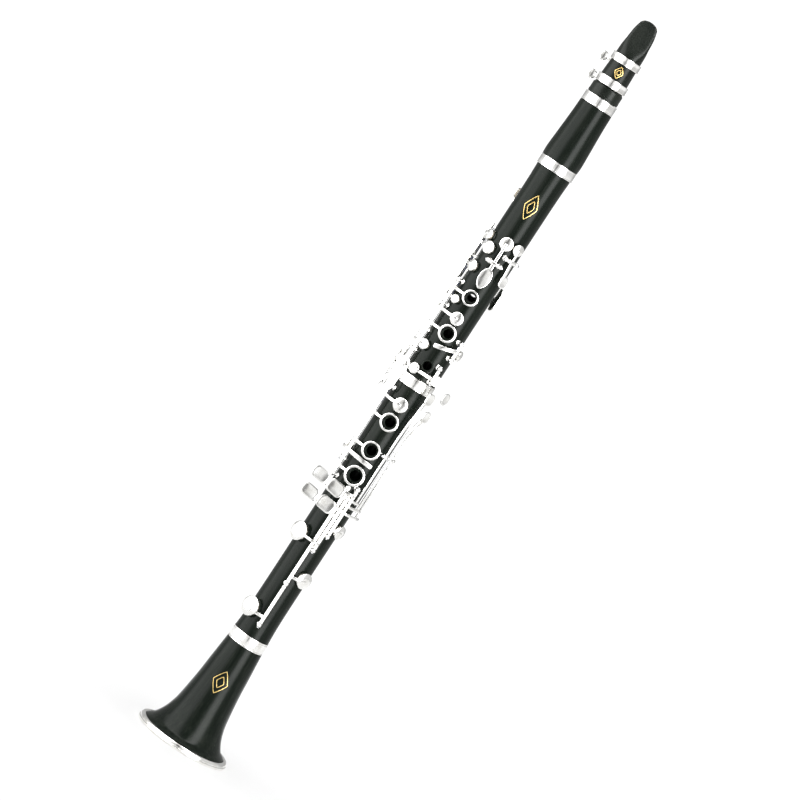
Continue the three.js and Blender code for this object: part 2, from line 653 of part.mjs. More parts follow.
const ringTravel = 4.5;          // degrees from open to pressed
{
  const line = lines.upperStack;
  const [, high] = between(line);
  const [low] = between(line, 0, 1);
  const first = fingerHoles.leftFirst;
  const tail = arm([[line.angle, hingeRadius, 411.6], [-73, 18.5, 411.6]]);
  const bored = cut(join(tube(line.angle, low, high), padArm(line, pads.vent),
    ringOnArm(line, first), tail), rodHole(line.angle, low - 1, high + 1));
  addKey([["index_ring_key", join(bored, filledCup(pads.vent)), materials.silver]],
    line.angle, -ringTravel);
}
{
  const line = lines.upperStack;
  const [low, high] = between(line, 1);
  const item = pads.middleRing;
  const bridge = arm([[line.angle, hingeRadius, 349.4], [-47, 17.2, 348], [-46, 16.8, 337.6]], 2);
  const whole = join(tube(line.angle, low, high), padArm(line, item), cupOf(item),
    ringOnArm(line, fingerHoles.leftMiddle), bridge);
  addKey([
    ["middle_ring_key", cut(whole, rodHole(line.angle, low - 1, high + 1)), materials.silver],
    ["middle_ring_pad", padOf(item), materials.pad],
  ], line.angle, -ringTravel);
}
{
  const line = lines.thumb;
  const [low, high] = between(line);
  const { angle, z, bush } = thumbHole;
  const lift = 1;
  const ring = fingerRing(angle, z, upperRadius, 7.6, bush + chimneyGap + gap, lift);
  const ringArm = arm([[line.angle, hingeRadius, z], [-158, 18.6, z]], 2, 1.2);
  const reach = [-135, -118, -101, -84, -69].map((place) => [place, 15.65, 411.6]);
  const push = arm(reach, 2.2, 1.2);
  const whole = join(tube(line.angle, low, high), ring, ringArm, push,
    stub(line.angle, 15.6, hingeRadius, 411.6));
  add("thumb_ring_key", whole, materials.silver);
}

// ---------------------------------------------------------------- throat and register keys

{
  const rocker = rockers.throatA;
  const item = pads.throatA;
  const lever = arm([[0, cupMiddle(upperRadius), item.z], [0, hingeRadius + 0.4, rocker.z],
    [0, 20, 440]], 2.6);
  const touch = plate(leafOutline(10, 17.8), 1.3, plateFrame(vector(0, -19.4, 433.7), outward(0)));
  addKey([
    ["throat_a_key", join(lever, hub(rocker, hubHalf), cupOf(item), touch), materials.silver],
    ["throat_a_pad", padOf(item), materials.pad],
  ]);
}
{
  const rocker = rockers.throatGsharp;
  const item = pads.throatGsharp;
  const lever = arm([[36, cupMiddle(upperRadius), item.z], [36, hingeRadius + 0.4, rocker.z],
    [38, 19.8, 441]], 2.4);
  const touch = plate(roundedOutline(7.4, 9.6, 2.4), 1.3,
    plateFrame(at(43, 19.4, 438.8), outward(43), 8));
  addKey([
    ["throat_gsharp_key", join(lever, hub(rocker, hubHalf), cupOf(item), touch),
      materials.silver],
    ["throat_gsharp_pad", padOf(item), materials.pad],
  ]);
}
{
  const rocker = rockers.register;
  const item = pads.register;
  const path = [[134, 20.2, 430], [150, 19.8, 440], [168, 19.4, 448], [184, 19, 455],
    [200, 18.9, 468], [218, 18.8, 485], [235, cupMiddle(upperRadius), item.z]];
  const touch = plate(roundedOutline(11, 20, 4), 1.4, plateFrame(at(131, 19.4, 423), outward(131)));
  addKey([
    ["register_key", join(arm(path, 2.6), hub(rocker, hubHalf), cupOf(item), touch),
      materials.silver],
    ["register_pad", padOf(item), materials.pad],
  ]);
}

// ---------------------------------------------------------------- side keys

// Touchpieces of the side keys are stacked beside the joint, one under another.
const sideTouch = { firstZ: 350, pitch: 8.8, width: 10.4, height: 7.9, x: -28, armZ: 363 };
const sideFace = vector(-0.35, -0.94, 0);

function sideKey(line, item, row, pathToCup) {
  const z = sideTouch.firstZ - row * sideTouch.pitch;
  const centre = vector(sideTouch.x, 5.2 - 2.6 * row, z);
  const armOut = 21.5;
  const [low, high] = between(line);
  const inboard = vector(sideTouch.x + 3, centre.y - 1.7, z);
  return join(
    tube(line.angle, low, high),
    stub(line.angle, hingeRadius, armOut + 0.6, sideTouch.armZ),
    arm([[line.angle, armOut, sideTouch.armZ], [line.angle, armOut, z]], 1.9),
    bar(at(line.angle, armOut, z), inboard, 3, 1.3, sideFace),
    plate(roundedOutline(sideTouch.width, sideTouch.height, 2.2), 1.4,
      plateFrame(centre, sideFace)),
    pathToCup ? arm(pathToCup) : padArm(line, item),
  );
}

addKey([
  ["upper_trill_key", join(sideKey(lines.upperTrill, pads.upperTrill, 0),
    cupOf(pads.upperTrill)), materials.silver],
  ["upper_trill_pad", padOf(pads.upperTrill), materials.pad],
]);
addKey([
  ["lower_trill_key", join(sideKey(lines.lowerTrill, pads.lowerTrill, 1),
    cupOf(pads.lowerTrill)), materials.silver],
  ["lower_trill_pad", padOf(pads.lowerTrill), materials.pad],
]);
addKey([
  ["side_fsharp_key", join(sideKey(lines.sideFsharp, pads.sideFsharp, 2),
    cupOf(pads.sideFsharp)), materials.silver],
  ["side_fsharp_pad", padOf(pads.sideFsharp), materials.pad],
]);
{
  const { angle } = lines.sideEflat;
  const { z } = pads.sideEflat;
  const over = [[angle, 19.2, z], [-70, 22, z], [-52, 22, z], [-42.5, 19.2, z]];
  const whole = join(sideKey(lines.sideEflat, pads.sideEflat, 3, over), filledCup(pads.sideEflat));
  add("side_eflat_key", whole, materials.silver);
}

// ---------------------------------------------------------------- left-hand sliver and C sharp keys

{
  const line = lines.leftSliver;
  const [low, high] = between(line);
  const touch = arm([[line.angle, 19.3, 374.8], [30, 20.2, 373.6], [10, 19.6, 371.8],
    [-12, 19, 370]], 3.2);
  const whole = join(tube(line.angle, low, high), touch, padArm(line, pads.leftSliver),
    filledCup(pads.leftSliver));
  add("left_sliver_key", whole, materials.silver);
}
{
  const line = lines.csharp;
  const [low, high] = between(line);
  const touch = plate(roundedOutline(14, 7.6, 2.6), 1.4,
    plateFrame(at(42, 22, 347.8), outward(24), 17));
  const neck = arm([[line.angle, 19, 350.4], [40, 21.6, 349.6]], 3);
  const whole = join(tube(line.angle, low, high), neck, touch, padArm(line, pads.csharp),
    filledCup(pads.csharp));
  add("csharp_key", whole, materials.silver);
}

// ---------------------------------------------------------------- finger rings, lower joint

{
  const line = lines.lowerStack;
  const [low, high] = between(line);
  const item = pads.rightRing;
  const rings = ["rightFirst", "rightMiddle", "rightThird"]
    .map((name) => ringOnArm(line, fingerHoles[name]));
  const bridge = arm([[line.angle, hingeRadius, 320.4], [-46, 19.3, 323.6], [-46, 19, 344.2]], 2);
  const whole = join(tube(line.angle, low, high), rings, bridge, padArm(line, item),
    cupOf(item));
  addKey([
    ["right_ring_key", cut(whole, rodHole(line.angle, low - 1, high + 1)), materials.silver],
    ["right_ring_pad", padOf(item), materials.pad],
  ], line.angle, -ringTravel);
}
{
  const line = lines.rightSliver;
  const [low, high] = between(line);
  const touch = arm([[line.angle, 19.3, 266.4], [-71, 22.5, 266.4], [-50, 22.5, 266],
    [-34, 20, 265.4], [-6, 18.8, 264.6], [20, 18.8, 263.8]], 3);
  const whole = join(tube(line.angle, low, high), touch, padArm(line, pads.rightSliver),
    filledCup(pads.rightSliver));
  add("right_sliver_key", whole, materials.silver);
}

// ---------------------------------------------------------------- right little-finger keys

// The four touchpieces lie in two rows, outer and inner, each row falling towards +X.
const pinky = {
  outer: { x: -22.9, width: 14.6, height: 10.2 },
  inner: { x: -7.5, width: 14.6, height: 11.4 },
  tilt: -8,
  faceY: -21.4,
  thickness: 1.4,
};
const openAngle = { lowE: 7.5, lowF: 7 };

function pinkyPlate(place, z, faceY) {
  const outline = roundedOutline(place.width, place.height, 3.2);
  return plate(outline, pinky.thickness,
    plateFrame(vector(place.x, faceY, z), vector(0, -1, 0), pinky.tilt));
}

const flatBar = (from, to, width = 2.2, thickness = 1.2) =>
  bar(vector(...from), vector(...to), width, thickness, vector(0, -1, 0));
const riser = (x, z, nearY, farY) => box(vector(x - 1, farY, z - 1.4), vector(x + 1, nearY, z + 1.4));

// Arm that passes over the neighbouring hinge tubes to the tip of a left-hand lever.
const leverArm = (line, angles, radii, z) =>
  arm([[line.angle, hingeRadius + 0.7, z], ...angles.map((angle, i) => [angle, radii[i], z])]);

{
  const line = lines.lowE;
  const item = pads.lowE;
  const armZ = 234;
  const rowZ = 239;
  const pressedY = -18.4;
  const sleeve = tube(line.angle, 226, line.posts[0] - postClearance);
  const inner = tube(line.angle, 148, 230, rodRadius);
  const lower = tube(line.angle, line.posts[2] + postClearance, line.posts[1] - postClearance);
  const whole = join(sleeve, inner, lower,
    flatBar([0.6, -17.8, armZ], [-4, -16.2, armZ]),
    flatBar([-4, -16.2, armZ], [-17, -16.2, armZ]),
    riser(-17, armZ, -15.7, pressedY - 0.9),
    pinkyPlate(pinky.outer, rowZ, pressedY),
    leverArm(line, [8, 25, 42], [22.4, 22.6, 22.2], armZ),
    padArm(line, item, 120.6), cupOf(item));
  addKey([
    ["low_e_key", whole, materials.silver],
    ["low_e_pad", padOf(item), materials.pad],
  ], line.angle, openAngle.lowE);
}
{
  const line = lines.lowE;
  const item = pads.fsharp;
  const armZ = 219.4;
  const low = line.posts[1] + postClearance;
  const high = 226 - 0.4;
  const whole = join(tube(line.angle, low, high),
    flatBar([0.6, -18, armZ], [-4, -16.9, armZ]),
    flatBar([-4, -16.9, armZ], [-17, -16.9, armZ]),
    riser(-17, armZ, -16.4, pinky.faceY - 0.9),
    pinkyPlate(pinky.outer, 223.4, pinky.faceY),
    leverArm(line, [8, 28, 56, 76], [22.2, 22.6, 22.2, 21], 223),
    padArm(line, item, 159.4), cupOf(item));
  addKey([
    ["fsharp_key", cut(whole, rodHole(line.angle, low - 1, high + 1)), materials.silver],
    ["fsharp_pad", padOf(item), materials.pad],
  ]);
}
{
  const line = lines.lowF;
  const item = pads.lowF;
  const [low, high] = between(line);
  const pressedY = -20.6;
  const neckZ = 217.4;
  const whole = join(tube(line.angle, low, high),
    flatBar([4.7, -18.6, neckZ], [3.4, -21.4, neckZ]),
    flatBar([3.4, -21.4, neckZ], [-3, -21.4, neckZ]),
    pinkyPlate(pinky.inner, 221.8, pressedY),
    leverArm(line, [19, 38, 60], [22.2, 22.5, 22.4], 229),
    leverArm(line, [9, -6, -22, -34], [22.4, 22.4, 20, 18.6], item.z), cupOf(item));
  addKey([
    ["low_f_key", cut(whole, rodHole(line.angle, low - 1, high + 1)), materials.silver],
    ["low_f_pad", padOf(item), materials.pad],
  ], line.angle, openAngle.lowF);
}
{
  const line = lines.aflat;
  const item = pads.aflat;
  const [low, high] = between(line);
  const armZ = 237.8;
  const whole = join(tube(line.angle, low, high),
    flatBar([8, -18, armZ], [6.4, -21.9, armZ]),
    flatBar([6.4, -22, armZ], [-4, -22, armZ]),
    pinkyPlate(pinky.inner, 236.2, pinky.faceY),
    padArm(line, item), cupOf(item));
  addKey([
    ["aflat_key", cut(whole, rodHole(line.angle, low - 1, high + 1)), materials.silver],
    ["aflat_pad", padOf(item), materials.pad],
  ]);
}

// ---------------------------------------------------------------- left-hand levers

function lever(name, rocker, lowZ, upperPlaces, touchOutline, touchCentre, face) {
  const { angle } = rocker;
  const beam = arm([[angle, 18.5, lowZ], [angle, 18.5, 300], ...upperPlaces], 2, 1.5);
  const touch = plate(touchOutline, 1.4, plateFrame(touchCentre, face));
  add(name, join(beam, hub(rocker, leverSpread - leverPostRadius - 0.4), touch), materials.silver);
}

lever("left_e_lever", rockers.leftE, 232.8, [[44, 20.6, 327]],
  roundedOutline(8, 10.5, 2.6), at(48, 21, 332), outward(46));
lever("left_f_lever", rockers.leftF, 227.8, [[63, 21.6, 314]],
  roundedOutline(8.6, 10, 3), at(66, 22.4, 318.6), outward(56));
lever("left_fsharp_lever", rockers.leftFsharp, 221.8, [[82, 25.8, 328], [83, 26, 335]],
  roundedOutline(10, 10.4, 4.6), at(83, 25.6, 338), outward(62));

// ---------------------------------------------------------------- hinge rods

function addHingeRod(name, line) {
  const low = line.posts.at(-1) - postRadius - 0.2;
  const high = line.posts[0] + postRadius + 0.2;
  add(name, tube(line.angle, low, high, rodRadius), materials.steel);
}
addHingeRod("upper_stack_rod", lines.upperStack);
addHingeRod("lower_stack_rod", lines.lowerStack);
addHingeRod("low_f_rod", lines.lowF);
addHingeRod("aflat_rod", lines.aflat);

// ---------------------------------------------------------------- thumb rest

{
  const { baseY, baseDepth, halfWidth, low, high, reach } = thumbRest;
  const base = box(vector(-halfWidth, baseY, low), vector(halfWidth, baseY + baseDepth, high));
  const shelf = box(vector(-7, baseY + 0.2, high - 2.4), vector(7, reach, high));
  const lip = box(vector(-7, reach - 1.8, high - 5), vector(7, reach, high - 0.2));
  const { lower, upper, shaft, head, depth } = restScrews;
  const holes = [lower, upper].map(restScrewHole);
  add("thumb_rest", cut(join(base, shelf, lip), holes), materials.silver);

  const face = baseY + baseDepth + gap;
  for (const [name, z] of [["thumb_rest_screw_lower", lower], ["thumb_rest_screw_upper", upper]]) {
    const stem = rod(vector(0, depth, z), vector(0, face + 0.5, z), shaft, 8);
    const cap = rod(vector(0, face, z), vector(0, face + 1.2, z), head, 10);
    add(name, join(stem, cap), materials.steel);
  }
}

export default clarinet;
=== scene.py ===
# Clarinet: the fine visual model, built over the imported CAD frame.
# Shapes are worked out in millimetres and written to the meshes in metres.
# Places round the body are given as (angle, radius, z): angle 0 is the front, positive towards +X.
import math

import bmesh
import bpy
import numpy as np
from mathutils import Matrix, Vector


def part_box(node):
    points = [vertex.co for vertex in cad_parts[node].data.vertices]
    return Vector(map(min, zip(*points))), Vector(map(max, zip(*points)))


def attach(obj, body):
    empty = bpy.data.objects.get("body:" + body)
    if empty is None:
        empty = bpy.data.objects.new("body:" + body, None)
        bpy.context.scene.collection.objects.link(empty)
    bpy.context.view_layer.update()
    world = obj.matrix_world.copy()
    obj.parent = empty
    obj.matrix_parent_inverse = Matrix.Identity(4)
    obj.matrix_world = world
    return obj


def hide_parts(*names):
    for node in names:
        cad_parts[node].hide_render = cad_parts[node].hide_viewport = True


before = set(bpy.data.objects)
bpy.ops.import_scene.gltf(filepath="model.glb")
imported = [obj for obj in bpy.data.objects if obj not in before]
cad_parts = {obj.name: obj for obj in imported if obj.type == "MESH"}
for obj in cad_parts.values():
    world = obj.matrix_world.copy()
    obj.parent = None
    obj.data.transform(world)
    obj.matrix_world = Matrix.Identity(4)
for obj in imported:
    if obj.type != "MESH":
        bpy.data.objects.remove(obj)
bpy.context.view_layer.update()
MM = 0.001


def heights(node):
    """Lowest and highest point of a CAD node, in millimetres."""
    low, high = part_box(node)
    return low.z / MM, high.z / MM


# -------- driving dimensions

BORE = 7.4
UPPER_RADIUS = 14.3
LOWER_RADIUS = 14.0
HINGE = 18.7  # distance of every lengthwise hinge from the bore axis
TUBE = 1.5  # outside radius of the hinge tubes
SEAT_HEIGHT = 0.9  # top of a pad seat above the wood
PAD_BOTTOM = 1.0  # underside of a shut pad above the wood
PAD_TOP = 3.3
CUP_RIM = 2.3  # lower edge of a pad cup above the wood
CUP_TOP = 5.0
ARM_HEIGHT = 4.6  # middle of an arm where it crosses its cup
CHIMNEY_HEIGHT = 1.9
RING_TRAVEL = 4.5  # degrees from open to pressed
ARM_WIDTH = 2.3
ARM_THICKNESS = 1.3
RING_GAP = 0.2  # between the wood's shoulders and the metal rings
POST_GAP = 1.9  # from the middle of a post to the end of the tube beside it
FINEST = 128  # segments round the joints and the bell
FINE = 96  # segments round the head and the rings
SMALL = 28  # segments round a small part

TIP_Z = heights("mouthpiece")[1]
UPPER_SHOULDERS = (341.0, 530.4)
LOWER_SHOULDERS = (102.1, 340.6)

# Hinge lines: angle round the body and the heights of the posts.
LINES = {
    "upper_stack": (-60, (422, 400.5, 345.4)),
    "thumb": (-135, (430, 407)),
    "side_eflat": (-78, (376, 358)),
    "side_fsharp": (-90, (443, 358)),
    "lower_trill": (-102, (461, 358)),
    "upper_trill": (-114, (470, 358)),
    "left_sliver": (46, (381, 366.6)),
    "csharp": (32, (356.6, 343.6)),
    "lower_stack": (-58, (324.5, 243.6)),
    "right_sliver": (-80, (273, 257)),
    "low_e": (3, (240.2, 152, 113.6)),
    "low_f": (14, (234.2, 185.4)),
    "aflat": (25, (243.6, 200.2)),
}

# Pads: angle, height, radius and the tone hole's radius.
PADS = {
    "register": (-125, 501.6, 4.2, 1.6),
    "throat_gsharp": (36, 465.5, 4.4, 2.6),
    "throat_a": (0, 465, 5.1, 3),
    "upper_trill": (-64, 464, 4.2, 2.6),
    "lower_trill": (-37, 455.5, 4.8, 2.8),
    "side_fsharp": (-50, 437, 4.4, 2.6),
    "index_ring": (-34, 408.4, 3.2, 1.6),
    "middle_ring": (0, 396.4, 5, 3),
    "left_sliver": (74, 372, 4, 2.4),
    "side_eflat": (-40.5, 366, 4.0, 2.8),
    "csharp": (-26, 346.6, 4, 2.4),
    "right_ring": (0, 316.8, 5.6, 3.3),
    "right_sliver": (-108, 265, 4, 2.4),
    "aflat": (56, 207, 5.4, 3.4),
    "low_f": (-49, 191.8, 7.6, 4.8),
    "fsharp": (43, 160.7, 6.4, 4),
    "low_e": (-47, 121.9, 7.8, 5.2),
}

# Finger holes on the front: height, hole, chimney and ring radius.
FINGER_HOLES = {
    "left_first": (415.4, 3.3, 4.7, 6.5),
    "left_middle": (382.8, 3.6, 5.2, 7.2),
    "left_third": (353.4, 3.4, 4.8, None),
    "right_first": (300.9, 3.9, 5.5, 7.5),
    "right_middle": (274.9, 3.9, 5.5, 7.5),
    "right_third": (251.6, 4.4, 6.1, 8.3),
}

# Rocking keys: angle and height of the axle, and half the distance between its posts.
ROCKERS = {
    "throat_a": (0, 447.4, 5.6),
    "throat_gsharp": (36, 455.2, 5.6),
    "register": (184, 455, 5.6),
    "left_e": (40, 276, 2.94),
    "left_f": (58, 276, 2.94),
    "left_fsharp": (76, 276, 2.94),
}

THUMB_HOLE = (180, 419, 3.6, 4.9)  # angle, height, hole and bush radius


def on_upper(z):
    return z > UPPER_SHOULDERS[0]


def wood_radius(z):
    return UPPER_RADIUS if on_upper(z) else LOWER_RADIUS


# -------- places and outlines

def outward(angle):
    turn = math.radians(angle)
    return np.array([math.sin(turn), -math.cos(turn), 0.0])


def sideways(angle):
    turn = math.radians(angle)
    return np.array([math.cos(turn), math.sin(turn), 0.0])


def at(angle, radius, z):
    return outward(angle) * radius + np.array([0.0, 0.0, z])


def facing(angle, radius, z, tilt=0.0, face=None):
    """Frame whose local X runs round the body, local Y up the bore and local Z outward."""
    out = Vector(outward(angle)) if face is None else Vector(face).normalized()
    around = Vector((0, 0, 1)).cross(out).normalized()
    top = out.cross(around)
    turn = Matrix((around, top, out)).transposed().to_4x4()
    spin = Matrix.Rotation(math.radians(tilt), 4, "Z")
    return Matrix.Translation(Vector(at(angle, radius, z))) @ turn @ spin


def moved(points, matrix):
    array = np.array(points, float)
    return array @ np.array(matrix.to_3x3()).T + np.array(matrix.translation)


def soften(points, radius, closed=True, steps=4):
    """Rounds the corners of an outline or path with short curves."""
    corners = [np.array(p, float) for p in points]
    result = []
    for i, corner in enumerate(corners):
        if not closed and i in (0, len(corners) - 1):
            result.append(corner)
            continue
        back = corners[i - 1] - corner
        ahead = corners[(i + 1) % len(corners)] - corner
        back_length, ahead_length = np.linalg.norm(back), np.linalg.norm(ahead)
        reach = min(radius, 0.48 * back_length, 0.48 * ahead_length)
        start = corner + back / back_length * reach
        end = corner + ahead / ahead_length * reach
        for k in range(steps + 1):
            t = k / steps
            result.append((1 - t) ** 2 * start + 2 * t * (1 - t) * corner + t * t * end)
    return result


def curve_through(points, steps=6):
    """Smooth curve through every point (Catmull-Rom)."""
    p = [np.array(q, float) for q in points]
    p = [2 * p[0] - p[1]] + p + [2 * p[-1] - p[-2]]
    result = []
    for i in range(1, len(p) - 2):
        for k in range(steps):
            t = k / steps
            result.append(0.5 * (
                2 * p[i] + (p[i + 1] - p[i - 1]) * t
                + (2 * p[i - 1] - 5 * p[i] + 4 * p[i + 1] - p[i + 2]) * t * t
                + (3 * p[i] - p[i - 1] - 3 * p[i + 1] + p[i + 2]) * t ** 3))
    result.append(p[-2])
    return result


def rounded_outline(width, height, corner, steps=7):
    x, y = width / 2 - corner, height / 2 - corner
    centres = ((x, y), (-x, y), (-x, -y), (x, -y))
    points = []
    for quarter, (cx, cy) in enumerate(centres):
        for k in range(steps + 1):
            turn = math.pi / 2 * (quarter + k / steps)
            points.append((cx + corner * math.cos(turn), cy + corner * math.sin(turn)))
    return points


def leaf_outline(width, height, steps=24):
    """Spoon shape that is broad at the top and narrow at the bottom."""
    points = []
    for k in range(2 * steps):
        turn = math.pi * k / steps
        up = math.sin(turn)
        half = width / 2 * abs(math.cos(turn)) ** 0.85
        narrow = 1.0 if up > 0 else 1.0 - 0.45 * up * up
        points.append((math.copysign(half * narrow, math.cos(turn)), height / 2 * up))
    return points


# -------- shapes: (points, faces)

def quads(rows, columns, wrap):
    """Faces between neighbouring rows of points; every row closes on itself."""
    faces = []
    for i in range(rows if wrap else rows - 1):
        following = (i + 1) % rows
        for j in range(columns):
            k = (j + 1) % columns
            faces.append((i * columns + j, i * columns + k,
                          following * columns + k, following * columns + j))
    return faces


def capped(rows, columns):
    """Faces of a skin over rows of points, with both ends closed."""
    faces = quads(rows, columns, False)
    faces.append(tuple(range(columns))[::-1])
    faces.append(tuple(range((rows - 1) * columns, rows * columns)))
    return faces


def lathe(profile, segments, matrix=None):
    """Turned solid from an outline of (radius, height) that closes on itself."""
    turns = np.arange(segments) * 2 * math.pi / segments
    points = np.array([
        (max(radius, 0.0) * math.cos(turn), max(radius, 0.0) * math.sin(turn), height)
        for radius, height in profile for turn in turns])
    faces = quads(len(profile), segments, True)
    return (moved(points, matrix) if matrix else points), faces


def turned(profile, soft, segments, matrix=None, closed=True, steps=3):
    """Turned solid with the corners of its outline rounded by `soft`."""
    return lathe(soften(profile, soft, closed, steps), segments, matrix)


def rod(start, end, radius, segments=20, edge=0.25):
    start, end = Vector(start), Vector(end)
    length = (end - start).length
    turn = Vector((0, 0, 1)).rotation_difference(end - start).to_matrix().to_4x4()
    edge = min(edge, radius * 0.6, length * 0.3)
    profile = [(0, 0), (radius - edge, 0), (radius - edge * 0.3, edge * 0.3), (radius, edge),
               (radius, length - edge), (radius - edge * 0.3, length - edge * 0.3),
               (radius - edge, length), (0, length)]
    return lathe(profile, segments, Matrix.Translation(start) @ turn)


def strip(path, width, thickness, face=None, section=16):
    """Forged bar with rounded edges along a path; `width` may be (start, end)."""
    path = [np.array(p, float) for p in path]
    start_width, end_width = width if isinstance(width, tuple) else (width, width)
    tangents = []
    for i in range(len(path)):
        step = path[min(i + 1, len(path) - 1)] - path[max(i - 1, 0)]
        tangents.append(step / np.linalg.norm(step))
    stations = [(path[0] - tangents[0] * thickness * reach, 0, scale)
                for reach, scale in ((0.5, 0.02), (0.42, 0.5), (0.22, 0.86))]
    stations += [(p, i, 1.0) for i, p in enumerate(path)]
    last = len(path) - 1
    stations += [(path[-1] + tangents[-1] * thickness * reach, last, scale)
                 for reach, scale in ((0.22, 0.86), (0.42, 0.5), (0.5, 0.02))]
    points = []
    for place, i, scale in stations:
        along = tangents[i]
        out = np.array([place[0], place[1], 0.0]) if face is None else np.array(face, float)
        out = out - along * out.dot(along)
        if np.linalg.norm(out) < 0.2 * np.linalg.norm(place[:2]) and face is None:
            out = np.array([0.0, 0.0, 1.0]) - along * along[2]
        out /= np.linalg.norm(out)
        across = np.cross(along, out)
        half = (start_width + (end_width - start_width) * i / last) / 2
        for k in range(section):
            c, s = math.cos(2 * math.pi * k / section), math.sin(2 * math.pi * k / section)
            u = math.copysign(abs(c) ** 0.55, c) * half * scale
            v = math.copysign(abs(s) ** 0.6, s) * thickness / 2 * scale
            points.append(place + across * u + out * v)
    return np.array(points), capped(len(stations), section)


def arm(places, width=ARM_WIDTH, thickness=ARM_THICKNESS, bend=2.5):
    """Bar through places (angle, radius, z), its broad side out."""
    return strip(soften([at(*place) for place in places], bend, closed=False), width, thickness)


def plate(outline, thickness, matrix, edge=0.45, dish=0.0):
    """Cushion-edged plate; the face away from the body is dished by `dish`."""
    flat = np.array(outline, float)
    centre = flat.mean(0)
    reach = np.linalg.norm(flat - centre, axis=1).mean()
    edge = min(edge, thickness / 2)
    rings = [(1 - edge / reach, 0), (1 - 0.3 * edge / reach, 0.3 * edge), (1, edge),
             (1, thickness - edge), (1 - 0.3 * edge / reach, thickness - 0.3 * edge),
             (1 - edge / reach, thickness)]
    rings += [(scale, thickness - dish * (1 - scale * scale)) for scale in (0.75, 0.5, 0.25)]
    points = []
    for scale, height in rings:
        ring = centre + (flat - centre) * scale
        points += [(x, y, height) for x, y in ring]
    return moved(points, matrix), capped(len(rings), len(flat))


def block(low, high, edge=0.4):
    """Box with rounded edges between two corners, its depth along Y."""
    width, depth, height = (high[i] - low[i] for i in range(3))
    outline = rounded_outline(width, height, min(edge, width / 3, height / 3), 4)
    middle = ((low[0] + high[0]) / 2, high[1], (low[2] + high[2]) / 2)
    turn = Matrix.Translation(middle) @ Matrix.Rotation(math.pi / 2, 4, "X")
    return plate(outline, depth, turn, edge)


# -------- materials

class Nodes:
    """Short names for building a material's node tree."""

    def __init__(self, tree):
        self.tree = tree
        tree.nodes.clear()

    def add(self, kind, inputs=None, **settings):
        node = self.tree.nodes.new(kind)
        for name, value in settings.items():
            setattr(node, name, value)
        for name, value in (inputs or {}).items():
            if isinstance(value, bpy.types.NodeSocket):
                self.tree.links.new(value, node.inputs[name])
            else:
                node.inputs[name].default_value = value
        return node

    def noise(self, stretch, scale, detail=4.0, roughness=0.55):
        place = self.add("ShaderNodeTexCoord").outputs["Object"]
        mapping = self.add("ShaderNodeMapping", {"Vector": place, "Scale": stretch})
        node = self.add("ShaderNodeTexNoise", {
            "Vector": mapping.outputs["Vector"], "Scale": scale,
            "Detail": detail, "Roughness": roughness})
        return node.outputs["Fac"]

    def ramp(self, value, stops):
        node = self.add("ShaderNodeValToRGB", {"Fac": value})
        elements = node.color_ramp.elements
        while len(elements) < len(stops):
            elements.new(0.5)
        for element, (position, colour) in zip(elements, stops):
            element.position = position
            element.color = (*colour, 1)
        return node.outputs["Color"]

    def span(self, value, low, high, start=0.3, end=0.7):
        node = self.add("ShaderNodeMapRange", {
            "Value": value, "From Min": start, "From Max": end, "To Min": low, "To Max": high})
        return node.outputs["Result"]

    def math(self, operation, first, second=0.0):
        node = self.add("ShaderNodeMath", operation=operation)
        for socket, value in zip(node.inputs, (first, second)):
            if isinstance(value, bpy.types.NodeSocket):
                self.tree.links.new(value, socket)
            else:
                socket.default_value = value
        return node.outputs["Value"]


def surface(name, stops, stretch, scale, roughness, fine, bump, metallic=0.0, specular=0.5):
    """Material from two noises: a broad one for colour and gloss, a fine one for the grain.

    `fine` is (stretch, scale) of the grain, `bump` its height in metres.
    """
    material = bpy.data.materials.new(name)
    material.use_nodes = True
    nodes = Nodes(material.node_tree)
    broad = nodes.noise(stretch, scale)
    grain = nodes.noise(fine[0], fine[1], 6.0, 0.6)
    mixed = nodes.math("ADD", nodes.math("MULTIPLY", broad, 0.6), nodes.math("MULTIPLY", grain, 0.4))
    relief = nodes.add("ShaderNodeBump", {"Height": grain, "Distance": bump, "Strength": 0.6})
    shader = nodes.add("ShaderNodeBsdfPrincipled", {
        "Base Color": nodes.ramp(mixed, stops),
        "Metallic": metallic,
        "Roughness": nodes.span(mixed, *roughness),
        "Specular IOR Level": specular,
        "Normal": relief.outputs["Normal"],
    })
    nodes.add("ShaderNodeOutputMaterial", {"Surface": shader.outputs["BSDF"]})
    return material


PLAIN = (1, 1, 1)
ALONG = (1, 1, 0.04)  # stretches a pattern up the bore

